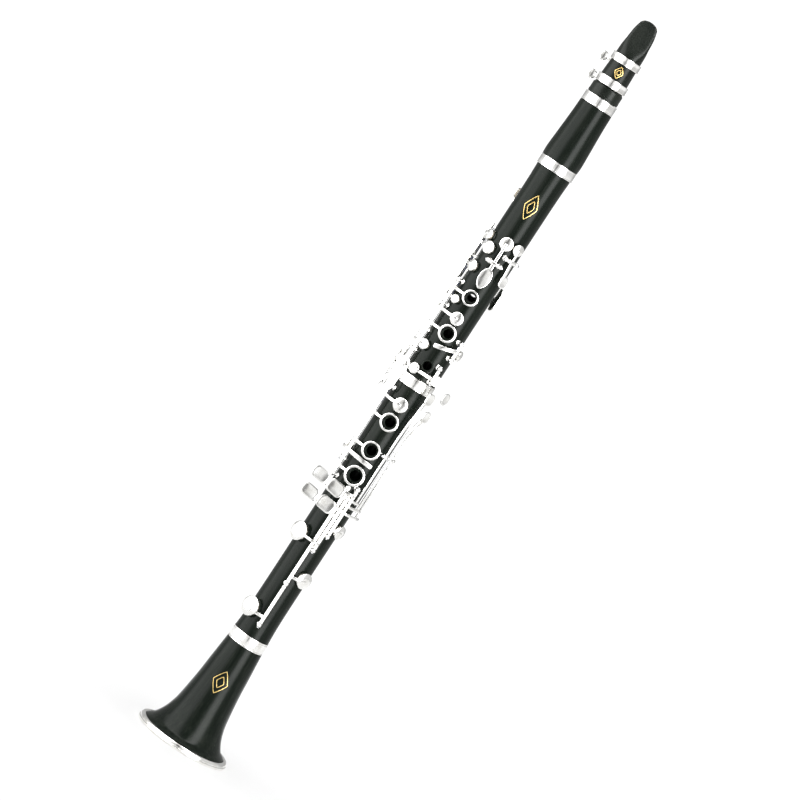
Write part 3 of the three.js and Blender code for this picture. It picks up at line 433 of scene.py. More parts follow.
MATERIALS = {
    "wood": surface(
        "grenadilla", ((0.36, (0.0048, 0.0080, 0.0054)), (0.5, (0.0080, 0.0120, 0.0084)),
                       (0.64, (0.017, 0.021, 0.016))),
        ALONG, 260, (0.17, 0.27), (ALONG, 1500), 0.000012, specular=0.1),
    "ebonite": surface(
        "hard rubber", ((0.4, (0.0060, 0.0088, 0.0062)), (0.6, (0.0115, 0.0150, 0.0112))),
        PLAIN, 60, (0.24, 0.34), ((1, 1, 3), 900), 0.000008, specular=0.16),
    "silver": surface(
        "silver plate", ((0.36, (0.74, 0.73, 0.69)), (0.48, (0.88, 0.875, 0.85)),
                         (0.62, (0.94, 0.94, 0.925))),
        PLAIN, 140, (0.11, 0.2), (PLAIN, 1400), 0.000004, metallic=1.0),
    "steel": surface(
        "hardened steel", ((0.4, (0.42, 0.43, 0.45)), (0.6, (0.58, 0.58, 0.59))),
        PLAIN, 200, (0.22, 0.34), (ALONG, 2600), 0.000005, metallic=1.0),
    "blued": surface(
        "blued spring steel", ((0.4, (0.035, 0.05, 0.12)), (0.6, (0.09, 0.10, 0.16))),
        PLAIN, 300, (0.25, 0.35), (ALONG, 2600), 0.000003, metallic=1.0),
    "cork": surface(
        "natural cork", ((0.38, (0.17, 0.085, 0.035)), (0.5, (0.42, 0.25, 0.12)),
                         (0.62, (0.55, 0.36, 0.19))),
        PLAIN, 420, (0.75, 0.95), (PLAIN, 1600), 0.00008, specular=0.3),
    "cane": surface(
        "shaved cane", ((0.36, (0.50, 0.34, 0.13)), (0.5, (0.68, 0.51, 0.24)),
                        (0.64, (0.78, 0.63, 0.35))),
        (1, 1, 0.02), 900, (0.45, 0.65), ((1, 1, 0.03), 3000), 0.00003, specular=0.4),
    "pad": surface(
        "pad skin", ((0.38, (0.62, 0.54, 0.42)), (0.62, (0.82, 0.76, 0.65))),
        PLAIN, 300, (0.5, 0.68), (PLAIN, 2400), 0.00003, specular=0.4),
    "gold": surface(
        "gold inlay", ((0.4, (0.62, 0.42, 0.13)), (0.6, (0.80, 0.60, 0.24))),
        PLAIN, 500, (0.25, 0.4), (PLAIN, 2500), 0.000006, metallic=1.0),
}


# -------- pieces

def mesh_of(name, shapes, swing=None):
    """One mesh from several closed shapes; `swing` is (hinge angle, degrees)."""
    points, faces = [], []
    for shape_points, shape_faces in shapes:
        offset = sum(len(p) for p in points)
        points.append(np.array(shape_points, float))
        faces += [tuple(i + offset for i in face) for face in shape_faces]
    array = np.concatenate(points)
    if swing:
        hinge = at(swing[0], HINGE, 0)
        turn = np.array(Matrix.Rotation(math.radians(swing[1]), 3, "Z"))
        array = (array - hinge) @ turn.T + hinge
    mesh = bpy.data.meshes.new(name)
    mesh.from_pydata((array * MM).tolist(), [], faces)
    work = bmesh.new()
    work.from_mesh(mesh)
    bmesh.ops.remove_doubles(work, verts=work.verts, dist=1e-6)
    bmesh.ops.dissolve_degenerate(work, edges=work.edges, dist=1e-7)
    bmesh.ops.recalc_face_normals(work, faces=work.faces)
    work.to_mesh(mesh)
    work.free()
    return mesh


def new_object(name, data):
    thing = bpy.data.objects.new(name, data)
    bpy.context.scene.collection.objects.link(thing)
    return thing


def give_look(thing, look):
    thing.data.materials.clear()
    thing.data.materials.append(MATERIALS[look])


def piece(name, body, shapes, look, replaces=(), swing=None, cutters=()):
    """Separate piece riding on a CAD body; `replaces` lists the CAD nodes it stands for."""
    thing = new_object(name, mesh_of(name, shapes, swing))
    if cutters:
        drill(thing, cutters)
    give_look(thing, look)
    thing.data.shade_smooth()
    thing.data.set_sharp_from_angle(angle=math.radians(40))
    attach(thing, body)
    if replaces:
        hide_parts(*replaces)


def drill(thing, cutters):
    """Cuts the closed shapes `cutters` out of a piece."""
    tool = new_object("tool", mesh_of("tool", cutters))
    cut = thing.modifiers.new("cut", "BOOLEAN")
    cut.operation = "DIFFERENCE"
    cut.solver = "EXACT"
    cut.use_self = True
    cut.object = tool
    solved = thing.evaluated_get(bpy.context.evaluated_depsgraph_get())
    mesh = bpy.data.meshes.new_from_object(solved)
    thing.modifiers.clear()
    thing.data = mesh
    bpy.data.objects.remove(tool)


def hole(angle, z, radius):
    """Cutter through the wall."""
    return rod(at(angle, BORE - 3, z), at(angle, 24, z), radius, 40, 0.01)


# -------- turned metal rings

def ferrule(name, body, node, outer):
    """Tenon ring with a raised bead at both edges and a fine line beside each."""
    low, high = heights(node)
    inner = outer - 0.9
    bead = 0.9
    profile = [(inner, low), (outer, low), (outer, low + bead), (outer - 0.22, low + bead + 0.15),
               (outer - 0.05, low + bead + 0.45), (outer - 0.05, high - bead - 0.45),
               (outer - 0.22, high - bead - 0.15), (outer, high - bead), (outer, high), (inner, high)]
    piece(name, body, [turned(profile, 0.22, FINE)], "silver", [node])


def make_rings():
    ferrule("barrel_top_ferrule", "head", "barrel_ring_top", 14)
    ferrule("barrel_bottom_ferrule", "head", "barrel_ring_bottom", 15.7)
    ferrule("centre_ferrule", "body", "centre_ring", 15)
    ferrule("bell_ferrule", "body", "bell_socket_ring", 15.5)
    low, high = heights("bell_rim_ring")
    rim = [(35.9, low), (39.3, low), (39.98, low + 0.5), (39.95, low + 2.0), (39.3, low + 2.3),
           (39.3, low + 2.6), (39.45, low + 2.9), (39.0, high - 0.8), (38.3, high), (35.9, high)]
    piece("bell_rim", "body", [turned(rim, 0.25, FINEST)], "silver", ["bell_rim_ring"])


# -------- wooden parts

def make_barrel():
    low, high = heights("barrel")
    ring_low = heights("barrel_ring_bottom")[1] + RING_GAP
    ring_high = heights("barrel_ring_top")[0] - RING_GAP
    outside = curve_through([(15.75, ring_low), (16, 545), (15.55, 554), (14.9, 566),
                             (14.3, 578), (13.95, ring_high)])
    profile = [(12.2, low), (14.5, low), (14.5, ring_low), *outside, (12.8, ring_high),
               (12.8, high), (11.2, high), (11.2, 579.7), (BORE, 579.7), (BORE, 548.3),
               (12.2, 548.3)]
    piece("barrel_wood", "head", [lathe(profile, FINE)], "wood", ["barrel"])


def make_bell():
    ring_low = heights("bell_socket_ring")[0] - RING_GAP
    outside = curve_through([(33.8, 6.7), (30.4, 9.4), (26.4, 16.2), (23.7, 23.6), (22, 31),
                             (19.8, 47), (18.6, 58), (17.6, 70), (16.5, 82), (15.6, ring_low)], 8)
    inside = curve_through([(10.8, 79.7), (12.6, 60), (15.6, 40), (20.4, 22), (26.5, 10),
                            (31.5, 3.4), (33.6, 0.5)], 8)
    profile = [(13.2, 101.7), (13.2, 79.7), *inside, (35.6, 0.5), (35.6, 5.3), *outside,
               (14.3, ring_low), (14.3, 101.7)]
    piece("bell_wood", "body", [lathe(profile, FINEST)], "wood", ["bell"])


def tenon(radius, groove, low, high):
    """Outside of a tenon from its end at `low` to its shoulder at `high`."""
    inset = math.copysign(3.5, high - low)
    return [(radius, low), (radius, low + inset), (groove, low + inset),
            (groove, high - inset), (radius, high - inset), (radius, high)]


def seat(pad):
    """Turned seat round a tone hole, with a rounded crown for the pad."""
    angle, z, radius, opening = pad
    wood = wood_radius(z)
    top = wood + SEAT_HEIGHT
    profile = [(opening, BORE + 3), (radius + 0.2, BORE + 3), (radius - 0.3, top - 0.35),
               (radius - 1.0, top), (opening + 0.25, top), (opening, top - 0.2)]
    return turned(profile, 0.2, 40, facing(angle, 0, z), steps=2)


def chimney(angle, z, opening, outer, base, top, lip):
    """Standing tube round a finger hole; `lip` is (width, depth) of its inner bevel."""
    profile = [(opening, base), (outer, base), (outer, top - 0.4), (outer - 0.4, top),
               (opening + lip[0], top), (opening, top - lip[1])]
    return turned(profile, 0.25, 48, facing(angle, 0, z))


def make_joint(name, node, profile, upper):
    """Wooden joint with every tone hole of its half of the instrument."""
    pads = [pad for pad in PADS.values() if on_upper(pad[1]) == upper]
    fingers = [item for item in FINGER_HOLES.values() if on_upper(item[0]) == upper]
    cutters = [hole(angle, z, radius) for angle, z, _, radius in pads]
    cutters += [hole(0, z, radius) for z, radius, _, _ in fingers]
    if upper:
        angle, z, _, bush = THUMB_HOLE
        cutters.append(hole(angle, z, bush + 0.1))
    piece(name, "body", [lathe(profile, FINEST)], "wood", [node], cutters=cutters)
    rims = [seat(pad) for pad in pads]
    rims += [chimney(0, z, radius, outer, BORE + 3, wood_radius(z) + CHIMNEY_HEIGHT, (0.5, 0.6))
             for z, radius, outer, _ in fingers]
    piece(name + "_seats", "body", rims, "wood")


def make_joints():
    low, high = heights("upper_joint")
    bottom, top = UPPER_SHOULDERS
    upper = [(BORE, low), *tenon(11.5, 10.3, low, bottom), (UPPER_RADIUS, bottom),
             (UPPER_RADIUS, 505), (14.45, 519), (14.8, top), *tenon(11.9, 10.6, high, top)[::-1],
             (BORE, high)]
    make_joint("upper_joint_wood", "upper_joint", upper, True)
    low, high = heights("lower_joint")
    bottom, top = LOWER_SHOULDERS
    ring_low = heights("centre_ring")[0] - RING_GAP
    outside = curve_through([(15.1, bottom), (14.5, 112), (14.2, 122), (14.03, 140), (14.0, 160)], 4)
    lower = [(11.8, top), (11.8, 322.2), (BORE, 322.2), (BORE, 180), (8.3, 140), (10.2, low),
             *tenon(12.9, 11.8, low, bottom), *outside, (LOWER_RADIUS, 322), (14.2, 328),
             (14.9, ring_low), (13.8, ring_low), (13.8, top)]
    make_joint("lower_joint_wood", "lower_joint", lower, False)


def make_bush():
    shape = chimney(*THUMB_HOLE, BORE + 1.2, UPPER_RADIUS + 1.6, (0.4, 0.4))
    piece("thumb_bushing", "body", [shape], "ebonite", ["thumb_bush"])


def lozenge(middle, half_height, half_width, levels, radii):
    """Thin outline laid on the front of a surface with these radii at two levels."""
    path = []
    for turn in np.linspace(0, 2 * math.pi, 65):
        c, s = math.cos(turn), math.sin(turn)
        x = math.copysign(half_width * abs(c) ** 1.8, c)
        z = middle + math.copysign(half_height * abs(s) ** 1.8, s)
        radius = np.interp(z, levels, radii)
        path.append(at(math.degrees(math.asin(x / radius)), radius, z))
    return strip(path, 0.5, 0.16)


def make_ornaments():
    """Plain gold lozenge inlays, one inside the other, on the front."""
    for name, body, middle, height, width, *surface_line in (
            ("mouthpiece_lozenge", "head", 621.2, 4.8, 3.4, (607.8, 632.8), (11.93, 10.94)),
            ("upper_lozenge", "body", 498.6, 10.6, 5.2, (505, 515), (14.34, 14.45)),
            ("bell_lozenge", "body", 59.5, 9.6, 6.2, (47, 77), (19.92, 16.92))):
        shapes = [lozenge(middle, height * scale, width * scale, *surface_line)
                  for scale in (1.0, 0.5)]
        piece(name, body, shapes, "gold")


# -------- mouthpiece, reed, ligature

TABLE_Y = 9.4  # flat face that the reed lies on
SHANK_Z = 597.8


def mouthpiece_section(z, count=72):
    """Outline of the mouthpiece at height z: a circle trimmed by beak, table and tip."""
    radius = np.interp(z, (SHANK_Z, 606.2, 607.8, 628, 634, 646, 668),
                       (13.2, 13.2, 11.9, 11.1, 10.9, 10.6, 10.0))
    half = np.interp(z, (638, 646, 657, 663.6, 666.4, TIP_Z), (15, 10.6, 9.3, 7.6, 4.4, 1.2))
    beak = np.interp(z, (632, 638, 668), (-15, -9.4, 8.2))
    table = TABLE_Y if z > 600.6 else 15.0
    front, back = max(-radius, beak), min(radius, table)
    middle = (front + back) / 2
    points = []
    for k in range(count):
        turn = 2 * math.pi * k / count
        c, s = math.cos(turn), math.sin(turn)
        circle = -middle * s + math.sqrt(max(radius ** 2 - (middle * c) ** 2, 0.01))
        side = half / max(abs(c), 1e-6)
        flat = (back - middle) / s if s > 1e-6 else 1e9
        slope = (middle - front) / -s if s < -1e-6 else 1e9
        reach = (circle ** -14 + side ** -14 + slope ** -14) ** (-1 / 14)
        reach = (reach ** -40 + flat ** -40) ** (-1 / 40)
        points.append((reach * c, middle + reach * s, z))
    return points


def make_mouthpiece():
    levels = [SHANK_Z, SHANK_Z + 0.3, 600.4, 600.8, 603, 605.8, 606.2, 607, 607.8]
    levels += list(np.linspace(610, 655, 19)) + list(np.linspace(657, TIP_Z - 0.1, 12))
    points = [point for z in levels for point in mouthpiece_section(z)]
    shape = (np.array(points), capped(len(levels), len(points) // len(levels)))
    chamber = block((-4.8, -3.5, 618), (4.8, 13, 640), 1.2)
    throat = block((-4.8, 2, 638), (4.8, 13, 655), 1.2)
    window = block((-4.8, 7.6, 652), (4.8, 13, 662), 0.6)
    bore = rod((0, 0, 570), (0, 0, 622), BORE - 0.2, 48)
    piece("mouthpiece_body", "head", [shape], "ebonite", ["mouthpiece"],
          cutters=[bore, chamber, throat, window])
    low = heights("mouthpiece")[0]
    profile = [(BORE - 0.2, low), *tenon(10.9, 9.8, low, SHANK_Z), (10.9, SHANK_Z + 0.5),
               (BORE - 0.2, SHANK_Z + 0.5)]
    piece("mouthpiece_tenon", "head", [lathe(profile, FINE)], "ebonite")
    groove = [(13.05, 599.2), (13.28, 599.4), (13.28, 600.0), (13.05, 600.2)]
    piece("mouthpiece_bead", "head", [turned(groove, 0.1, FINE, steps=2)], "ebonite")


def make_reed():
    """Cane blade: flat back, crowned bark, and a vamp shaved thin towards a curved tip."""
    low, high = heights("reed")
    back = TABLE_Y + 0.3
    rows, columns = 48, 24
    shares = np.linspace(-1, 1, columns)
    points = []
    for z in np.linspace(low, high, rows):
        thickness = np.interp(z, (low, low + 1, 634, 650, high), (2.3, 2.9, 2.9, 1.6, 0.4))
        crown = np.interp(z, (low, 634, 650, high), (0.9, 0.9, 0.35, 0.05))
        tops = z - np.interp(z, (655, high), (0, 1.4)) * shares ** 4
        bark = back + thickness - crown * shares ** 2
        points += [(6.3 * share, y, top) for share, y, top in zip(shares, bark, tops)]
        points += [(6.3 * share, back, top) for share, top in zip(shares[::-1], tops[::-1])]
    shape = (np.array(points), capped(rows, 2 * columns))
    piece("reed_blade", "head", [shape], "cane", ["reed"])


def ligature_outline(radius, inset, half_back=8.6, back_y=13.8):
    """Band outline: most of a circle, drawn out to a straight back over the reed."""
    side = math.atan2(4, half_back)
    arc = np.linspace(side, -math.pi - side, 60)
    points = [((radius - inset) * math.cos(turn), (radius - inset) * math.sin(turn)) for turn in arc]
    back = (half_back - inset, back_y - inset)
    return points + soften([(-back[0], back[1]), back], 1.6, closed=False)


def ligature_band(low, high, radius):
    wall, bead = 0.9, 0.25
    levels = [(wall, low), (0.05, low), (-bead * 0.6, low + 0.5), (0.12, low + 1.1),
              (0.12, high - 1.1), (-bead * 0.6, high - 0.5), (0.05, high), (wall, high)]
    rings = [ligature_outline(radius, inset) for inset, _ in levels]
    points = [(x, y, z) for ring, (_, z) in zip(rings, levels) for x, y in ring]
    return np.array(points), quads(len(levels), len(rings[0]), True)


LIGATURE_SCREWS = {"lower": 609.8, "upper": 626.4}
SCREW_Y = 16.3


def make_ligature():
    shapes = [ligature_band(628, 634, 12.4), ligature_band(608.2, 614.5, 13.3)]
    for x in (-5.6, 5.6):
        shapes.append(block((x - 2, 12.95, 608.2), (x + 2, 13.8, 634), 0.35))
        for z in LIGATURE_SCREWS.values():
            shapes.append(block((x - 1.2, 13.3, z - 2), (x + 1.2, SCREW_Y + 2, z + 2), 0.5))
    piece("ligature_frame", "head", shapes, "silver", ["ligature_band"])
    for name, z in LIGATURE_SCREWS.items():
        shaft = rod((-15.6, SCREW_Y, z), (8.4, SCREW_Y, z), 0.9)
        collar = rod((-13.4, SCREW_Y, z), (-8.2, SCREW_Y, z), 1.6)
        outline = [(3.6 * math.cos(turn), 3.9 * math.sin(turn))
                   for turn in np.linspace(0, 2 * math.pi, 40, endpoint=False)]
        place = Matrix.Translation((-17.1, SCREW_Y + 1.2, z)) @ Matrix.Rotation(math.pi / 2, 4, "X")
        wing = plate(outline, 2.4, place, 0.9, 0.5)
        piece(f"ligature_thumbscrew_{name}", f"{name}_ligature_screw", [shaft, collar, wing],
              "silver", [f"ligature_screw_{name}"])


# -------- key parts

def tube(angle, low, high):
    """Hinge tube with a fine turned collar at each end."""
    at_hinge = Matrix.Translation(Vector(at(angle, HINGE, 0)))
    collar = TUBE + 0.12
    profile = [(0.75, low), (collar, low), (collar, low + 1.1), (TUBE, low + 1.3),
               (TUBE, high - 1.3), (collar, high - 1.1), (collar, high), (0.75, high)]
    return turned(profile, 0.12, SMALL, at_hinge, steps=2)


def hinge_tube(line, top=0, bottom=-1):
    """Tube that fills a hinge line between two of its posts."""
    angle, posts = LINES[line]
    return tube(angle, posts[bottom] + POST_GAP, posts[top] - POST_GAP)


def cup(name):
    angle, z, radius, _ = PADS[name]
    wood = wood_radius(z)
    rim, top = wood + CUP_RIM, wood + CUP_TOP
    outer = radius + 0.4
    profile = [(0, rim + 0.9), (outer - 0.45, rim + 0.9), (outer - 0.45, rim), (outer, rim),
               (outer, rim + 1.3), (outer * 0.93, rim + 1.75), (outer * 0.72, top - 0.45),
               (outer * 0.45, top - 0.12), (0, top)]
    return turned(profile, 0.35, 48, facing(angle, 0, z), closed=False)


def pad_skin(name):
    angle, z, radius, _ = PADS[name]
    wood = wood_radius(z)
    low, high = wood + PAD_BOTTOM, wood + PAD_TOP
    edge = radius - 0.08
    profile = [(0, low), (edge - 0.7, low), (edge - 0.15, low + 0.25), (edge, low + 0.75),
               (edge, high), (0, high)]
    return turned(profile, 0.3, 40, facing(angle, 0, z), closed=False)


def pad_arm(name, line=None, z=None):
    """Arm from a hinge line over to the rim of a cup, then flat along its top."""
    angle, pad_z, radius, _ = PADS[name]
    start = LINES[line or name][0]
    arm_z = pad_z if z is None else z
    top = wood_radius(pad_z) + ARM_HEIGHT
    rim = math.degrees(math.atan2(radius, top)) * math.copysign(1, start - angle)
    return arm([(start, HINGE, arm_z), (angle + rim, math.hypot(radius, top), arm_z),
                (angle, top, pad_z)], (2.7, 1.7))


def finger_ring(angle, z, outer, inner, lift=0.0):
    low = wood_radius(z) + 2.1 + lift
    profile = [(inner, low), (outer, low), (outer, low + 1.6), (inner, low + 1.6)]
    return turned(profile, 0.55, 64, facing(angle, 0, z), steps=4)


def ring_on_arm(line, name):
    z, _, outer, ring = FINGER_HOLES[name]
    angle = LINES[line][0]
    middle = wood_radius(z) + 2.9
    reach = ring - 0.6
    edge = math.degrees(math.atan2(reach, middle)) * math.copysign(1, angle)
    path = [(angle, HINGE, z), (angle * 0.62, HINGE, z), (edge, math.hypot(reach, middle), z)]
    return [finger_ring(0, z, ring, outer + 0.4), arm(path, (2.6, 2.0), 1.25)]


def hub(name):
    """Cross tube on which a rocking key turns."""
    angle, z, spread = ROCKERS[name]
    end = sideways(angle) * (spread - (POST_GAP if spread > 4 else 1.5))
    place = at(angle, HINGE, z)
    return rod(place - end, place + end, 1.7, SMALL, 0.3)


def touch(angle, radius, z, outline, tilt=0.0, face=None, dish=0.25):
    return plate(outline, 1.4, facing(angle, radius, z, tilt, face), 0.5, dish)


def key(body, shapes, swing=None, own_pad=True, kind="key"):
    """Metal key `body`_mechanism, with its pad where it has one; `swing` opens it at rest."""
    metal = list(shapes)
    if own_pad:
        metal.append(cup(body))
        pad_nodes = [f"{body}_pad"] if f"{body}_pad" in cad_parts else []
        piece(f"{body}_pad_skin", body, [pad_skin(body)], "pad", pad_nodes, swing)
    piece(f"{body}_mechanism", body, metal, "silver", [f"{body}_{kind}"], swing)


# -------- upper joint keys

PUSH_Z = 411.6  # height at which the thumb ring's bar reaches the index ring's tail


def make_ring_keys():
    stack = LINES["upper_stack"][0]
    swing = (stack, -RING_TRAVEL)
    tail = arm([(stack, HINGE, PUSH_Z), (-73, 18.5, PUSH_Z)], (2.4, 1.8))
    key("index_ring", [hinge_tube("upper_stack", 0, 1), pad_arm("index_ring", "upper_stack"), tail,
                       *ring_on_arm("upper_stack", "left_first")], swing)
    bridge = arm([(stack, HINGE, 349.4), (-47, 17.2, 348), (-46, 16.8, 337.6)], (2.4, 1.8))
    key("middle_ring", [hinge_tube("upper_stack", 1), pad_arm("middle_ring", "upper_stack"), bridge,
                        *ring_on_arm("upper_stack", "left_middle")], swing)
    back = LINES["thumb"][0]
    angle, z, _, bush = THUMB_HOLE
    push = arm([(place, 15.65, PUSH_Z) for place in (back, -118, -101, -84, -69)], 2.2, 1.1)
    stub = strip([at(back, 15.5, PUSH_Z), at(back, HINGE, PUSH_Z)], 2, 2, (0, 0, 1))
    key("thumb_ring", [hinge_tube("thumb"), finger_ring(angle, z, 7.6, bush + 0.7, 1.0), push,
                       stub, arm([(back, HINGE, z), (-158, 18.6, z)], (2.6, 2.0), 1.25)],
        own_pad=False)


def make_throat_keys():
    top = UPPER_RADIUS + ARM_HEIGHT
    lever = arm([(0, top, 465), (0, HINGE + 0.4, 447.4), (0, 20, 440)], (2.2, 3.0))
    spoon = touch(0, 19.4, 433.7, leaf_outline(10, 17.8), 0, PINKY_FACE, dish=0.35)
    key("throat_a", [lever, hub("throat_a"), spoon])
    lever = arm([(36, top, 465.5), (36, HINGE + 0.4, 455.2), (38, 19.8, 441)], (2.0, 2.8))
    spoon = touch(43, 19.4, 438.8, rounded_outline(7.4, 9.6, 2.8), 8)
    key("throat_gsharp", [lever, hub("throat_gsharp"), spoon])
    path = [(134, 20.2, 430), (150, 19.8, 440), (168, 19.4, 448), (184, 19, 455),
            (200, 18.9, 468), (218, 18.8, 485), (235, top, 501.6)]
    spoon = touch(131, 19.4, 423, rounded_outline(11, 20, 4.6), dish=0.35)
    key("register", [arm(path, (3.2, 2.0), bend=6), hub("register"), spoon])


# Touchpieces of the side keys are stacked beside the joint, one under another.
SIDE_ARM_Z = 363
SIDE_FACE = (-0.35, -0.94, 0)


def side_key(line, row):
    """Tube, long arm and touchpiece of a side key; row 0 is the highest."""
    z = 350 - 8.8 * row
    y = 5.2 - 2.6 * row
    angle = LINES[line][0]
    outer = 21.5
    place = Matrix.Translation((-28, y, z)) @ facing(0, 0, 0, face=SIDE_FACE)
    foot = [at(angle, HINGE, SIDE_ARM_Z), at(angle, outer, SIDE_ARM_Z), at(angle, outer, z),
            np.array([-25, y - 1.7, z])]
    return [
        hinge_tube(line),
        strip([foot[0], foot[1]], 2, 2, (0, 0, 1)),
        strip([foot[1], foot[2]], 2.1, 1.4),
        strip([foot[2], foot[3]], 3, 1.3, SIDE_FACE),
        plate(rounded_outline(10.4, 7.9, 2.6), 1.5, place, 0.5, 0.25),
    ]


def make_side_keys():
    for row, name in enumerate(("upper_trill", "lower_trill", "side_fsharp")):
        key(name, side_key(name, row) + [pad_arm(name)])
    over = arm([(-78, 19.2, 366), (-70, 22, 366), (-52, 22, 366), (-42.5, 19.2, 366)])
    key("side_eflat", side_key("side_eflat", 3) + [over])


def make_left_hand_keys():
    sliver = arm([(46, 19.3, 374.8), (30, 20.2, 373.6), (10, 19.6, 371.8), (-12, 19, 370)],
                 (3.0, 3.6), 1.5, 4)
    key("left_sliver", [hinge_tube("left_sliver"), sliver, pad_arm("left_sliver")])
    spoon = touch(42, 22, 347.8, rounded_outline(14, 7.6, 3.2), 17, outward(24))
    neck = arm([(32, 19, 350.4), (40, 21.6, 349.6)], 3)
    key("csharp", [hinge_tube("csharp"), neck, spoon, pad_arm("csharp")])


# -------- lower joint keys

def make_right_hand_rings():
    rings = [shape for name in ("right_first", "right_middle", "right_third")
             for shape in ring_on_arm("lower_stack", name)]
    stack = LINES["lower_stack"][0]
    bridge = arm([(stack, HINGE, 320.4), (-46, 19.3, 323.6), (-46, 19, 344.2)], (2.4, 1.9))
    key("right_ring", [hinge_tube("lower_stack"), *rings, bridge,
                       pad_arm("right_ring", "lower_stack")], (stack, -RING_TRAVEL))
    sliver = arm([(-80, 19.3, 266.4), (-71, 22.5, 266.4), (-50, 22.5, 266), (-34, 20, 265.4),
                  (-6, 18.8, 264.6), (20, 18.8, 263.8)], (2.6, 3.6), 1.4, 4)
    key("right_sliver", [hinge_tube("right_sliver"), sliver, pad_arm("right_sliver")])


OUTER_ROW = (-23, 14.2, 10.2)  # x, width and height of the little-finger touchpieces
INNER_ROW = (-7.4, 14.2, 11.4)
FRONT = (0, -1, 0)
PINKY_FACE = (-0.07, -1, 0)  # the touchpieces are turned a little towards the finger


def pinky_plate(row, z, face_y):
    x, width, height = row
    place = Matrix.Translation((x, face_y, z)) @ facing(0, 0, 0, -8, PINKY_FACE)
    return plate(rounded_outline(width, height, 3.6), 1.5, place, 0.55, 0.3)


def flat_bar(z, path, thickness=1.3):
    """Level bar through places (x, y)."""
    points = [(x, y, z) for x, y in path]
    return strip(soften(points, 1.5, closed=False), 2.4, thickness, FRONT)


def riser(x, z, near_y, far_y):
    return block((x - 1, far_y, z - 1.4), (x + 1, near_y, z + 1.4), 0.3)


def lever_arm(line, places, z):
    """Arm at height z towards a left-hand lever or a pad."""
    start = (LINES[line][0], HINGE + 0.7, z)
    return arm([start, *[(angle, radius, z) for angle, radius in places]], (2.6, 2.0))


def make_little_finger_keys():
    angle, (top, middle, _) = LINES["low_e"]
    sleeve = [tube(angle, 226, top - POST_GAP), hinge_tube("low_e", 1),
              rod(at(angle, HINGE, 148), at(angle, HINGE, 230), 0.7)]
    bar = flat_bar(234, [(0.6, -17.8), (-4, -15.5), (-17, -15.5)], 1.1)
    key("low_e", [*sleeve, bar, riser(-17, 234, -15.7, -19.3), pinky_plate(OUTER_ROW, 239, -18.4),
                  lever_arm("low_e", [(8, 22.4), (25, 22.6), (42, 22.2)], 234),
                  pad_arm("low_e", z=120.6)], (angle, 7.5))
    key("fsharp", [tube(angle, middle + POST_GAP, 225.6),
                   flat_bar(219.4, [(0.6, -18), (-4, -16.9), (-17, -16.9)]),
                   riser(-17, 219.4, -16.4, -22.3), pinky_plate(OUTER_ROW, 223.4, -21.4),
                   lever_arm("low_e", [(8, 22.2), (28, 22.6), (56, 22.2), (76, 21)], 223),
                   pad_arm("fsharp", "low_e", 159.4)])
    key("low_f", [hinge_tube("low_f"),
                  flat_bar(217.4, [(4.7, -18.6), (3.4, -21.4), (-3, -21.4)]),
                  pinky_plate(INNER_ROW, 221.8, -20.6),
                  lever_arm("low_f", [(19, 22.2), (38, 22.5), (60, 22.4)], 229),
                  lever_arm("low_f", [(9, 22.4), (-6, 22.4), (-22, 20), (-34, 18.6)],
                            PADS["low_f"][1])], (LINES["low_f"][0], 7))
    key("aflat", [hinge_tube("aflat"),
                  flat_bar(237.8, [(8, -18), (6.4, -21.9), (-4, -22)]),
                  pinky_plate(INNER_ROW, 236.2, -21.4), pad_arm("aflat")])


def make_levers():
    for name, tip, upper, outline, place, face in (
            ("left_e", 232.8, [(44, 20.6, 327)], (8, 10.5, 3.2), (48, 21, 332), 46),
            ("left_f", 227.8, [(63, 21.6, 314)], (8.6, 10, 3.6), (66, 22.4, 318.6), 56),
            ("left_fsharp", 221.8, [(82, 25.8, 328), (83, 26, 335)], (10, 10.4, 4.8),
             (83, 25.6, 338), 62)):
        angle = ROCKERS[name][0]
        beam = arm([(angle, 18.5, tip), (angle, 18.5, 300), *upper], (1.9, 2.4), 1.5, 8)
        spoon = touch(*place, rounded_outline(*outline), 0, outward(face))
        key(name, [beam, hub(name), spoon], own_pad=False, kind="lever")


# -------- posts, screws and springs

def ball_post(angle, z, size=1.0):
    """Turned post: screwed foot, waist and a ball drilled for the screw."""
    wood = wood_radius(z)
    ball = 1.85 * size
    profile = [(0, wood - 1), (2.1 * size, wood - 1), (2.1 * size, wood + 0.25),
               (1.5 * size, wood + 0.6), (1.05 * size, wood + 1.2), (1.05 * size, HINGE - 1.7)]
    profile += [(ball * math.sin(turn), HINGE - ball * math.cos(turn))
                for turn in np.linspace(0.65, math.pi, 12)]
    return lathe(profile, SMALL, facing(angle, 0, z))


def make_posts():
    groups = {True: [], False: []}
    screws = {True: [], False: []}
    for angle, posts in LINES.values():
        upper = on_upper(posts[0])
        groups[upper] += [ball_post(angle, z) for z in posts]
        for z, way in ((posts[0], 1), (posts[-1], -1)):
            start = at(angle, HINGE, z + way * 1.2)
            screws[upper].append(rod(start, at(angle, HINGE, z + way * 2.25), 0.95, 20, 0.2))
    for name, (angle, z, spread) in ROCKERS.items():
        upper = on_upper(z)
        step = math.degrees(spread / HINGE)
        size = 1.0 if spread > 4 else 0.68
        sides = (-1, 1) if name not in ("left_f", "left_fsharp") else (1,)
        groups[upper] += [ball_post(angle + side * step, z, size) for side in sides]
        reach = sideways(angle) * (spread + 2.2 * size)
        place = at(angle, HINGE, z)
        screws[upper].append(rod(place - reach, place + reach, 0.8))
    for upper, half in ((True, "upper"), (False, "lower")):
        piece(f"{half}_posts", "body", groups[upper], "silver")
        piece(f"{half}_pivot_screws", "body", screws[upper], "steel")


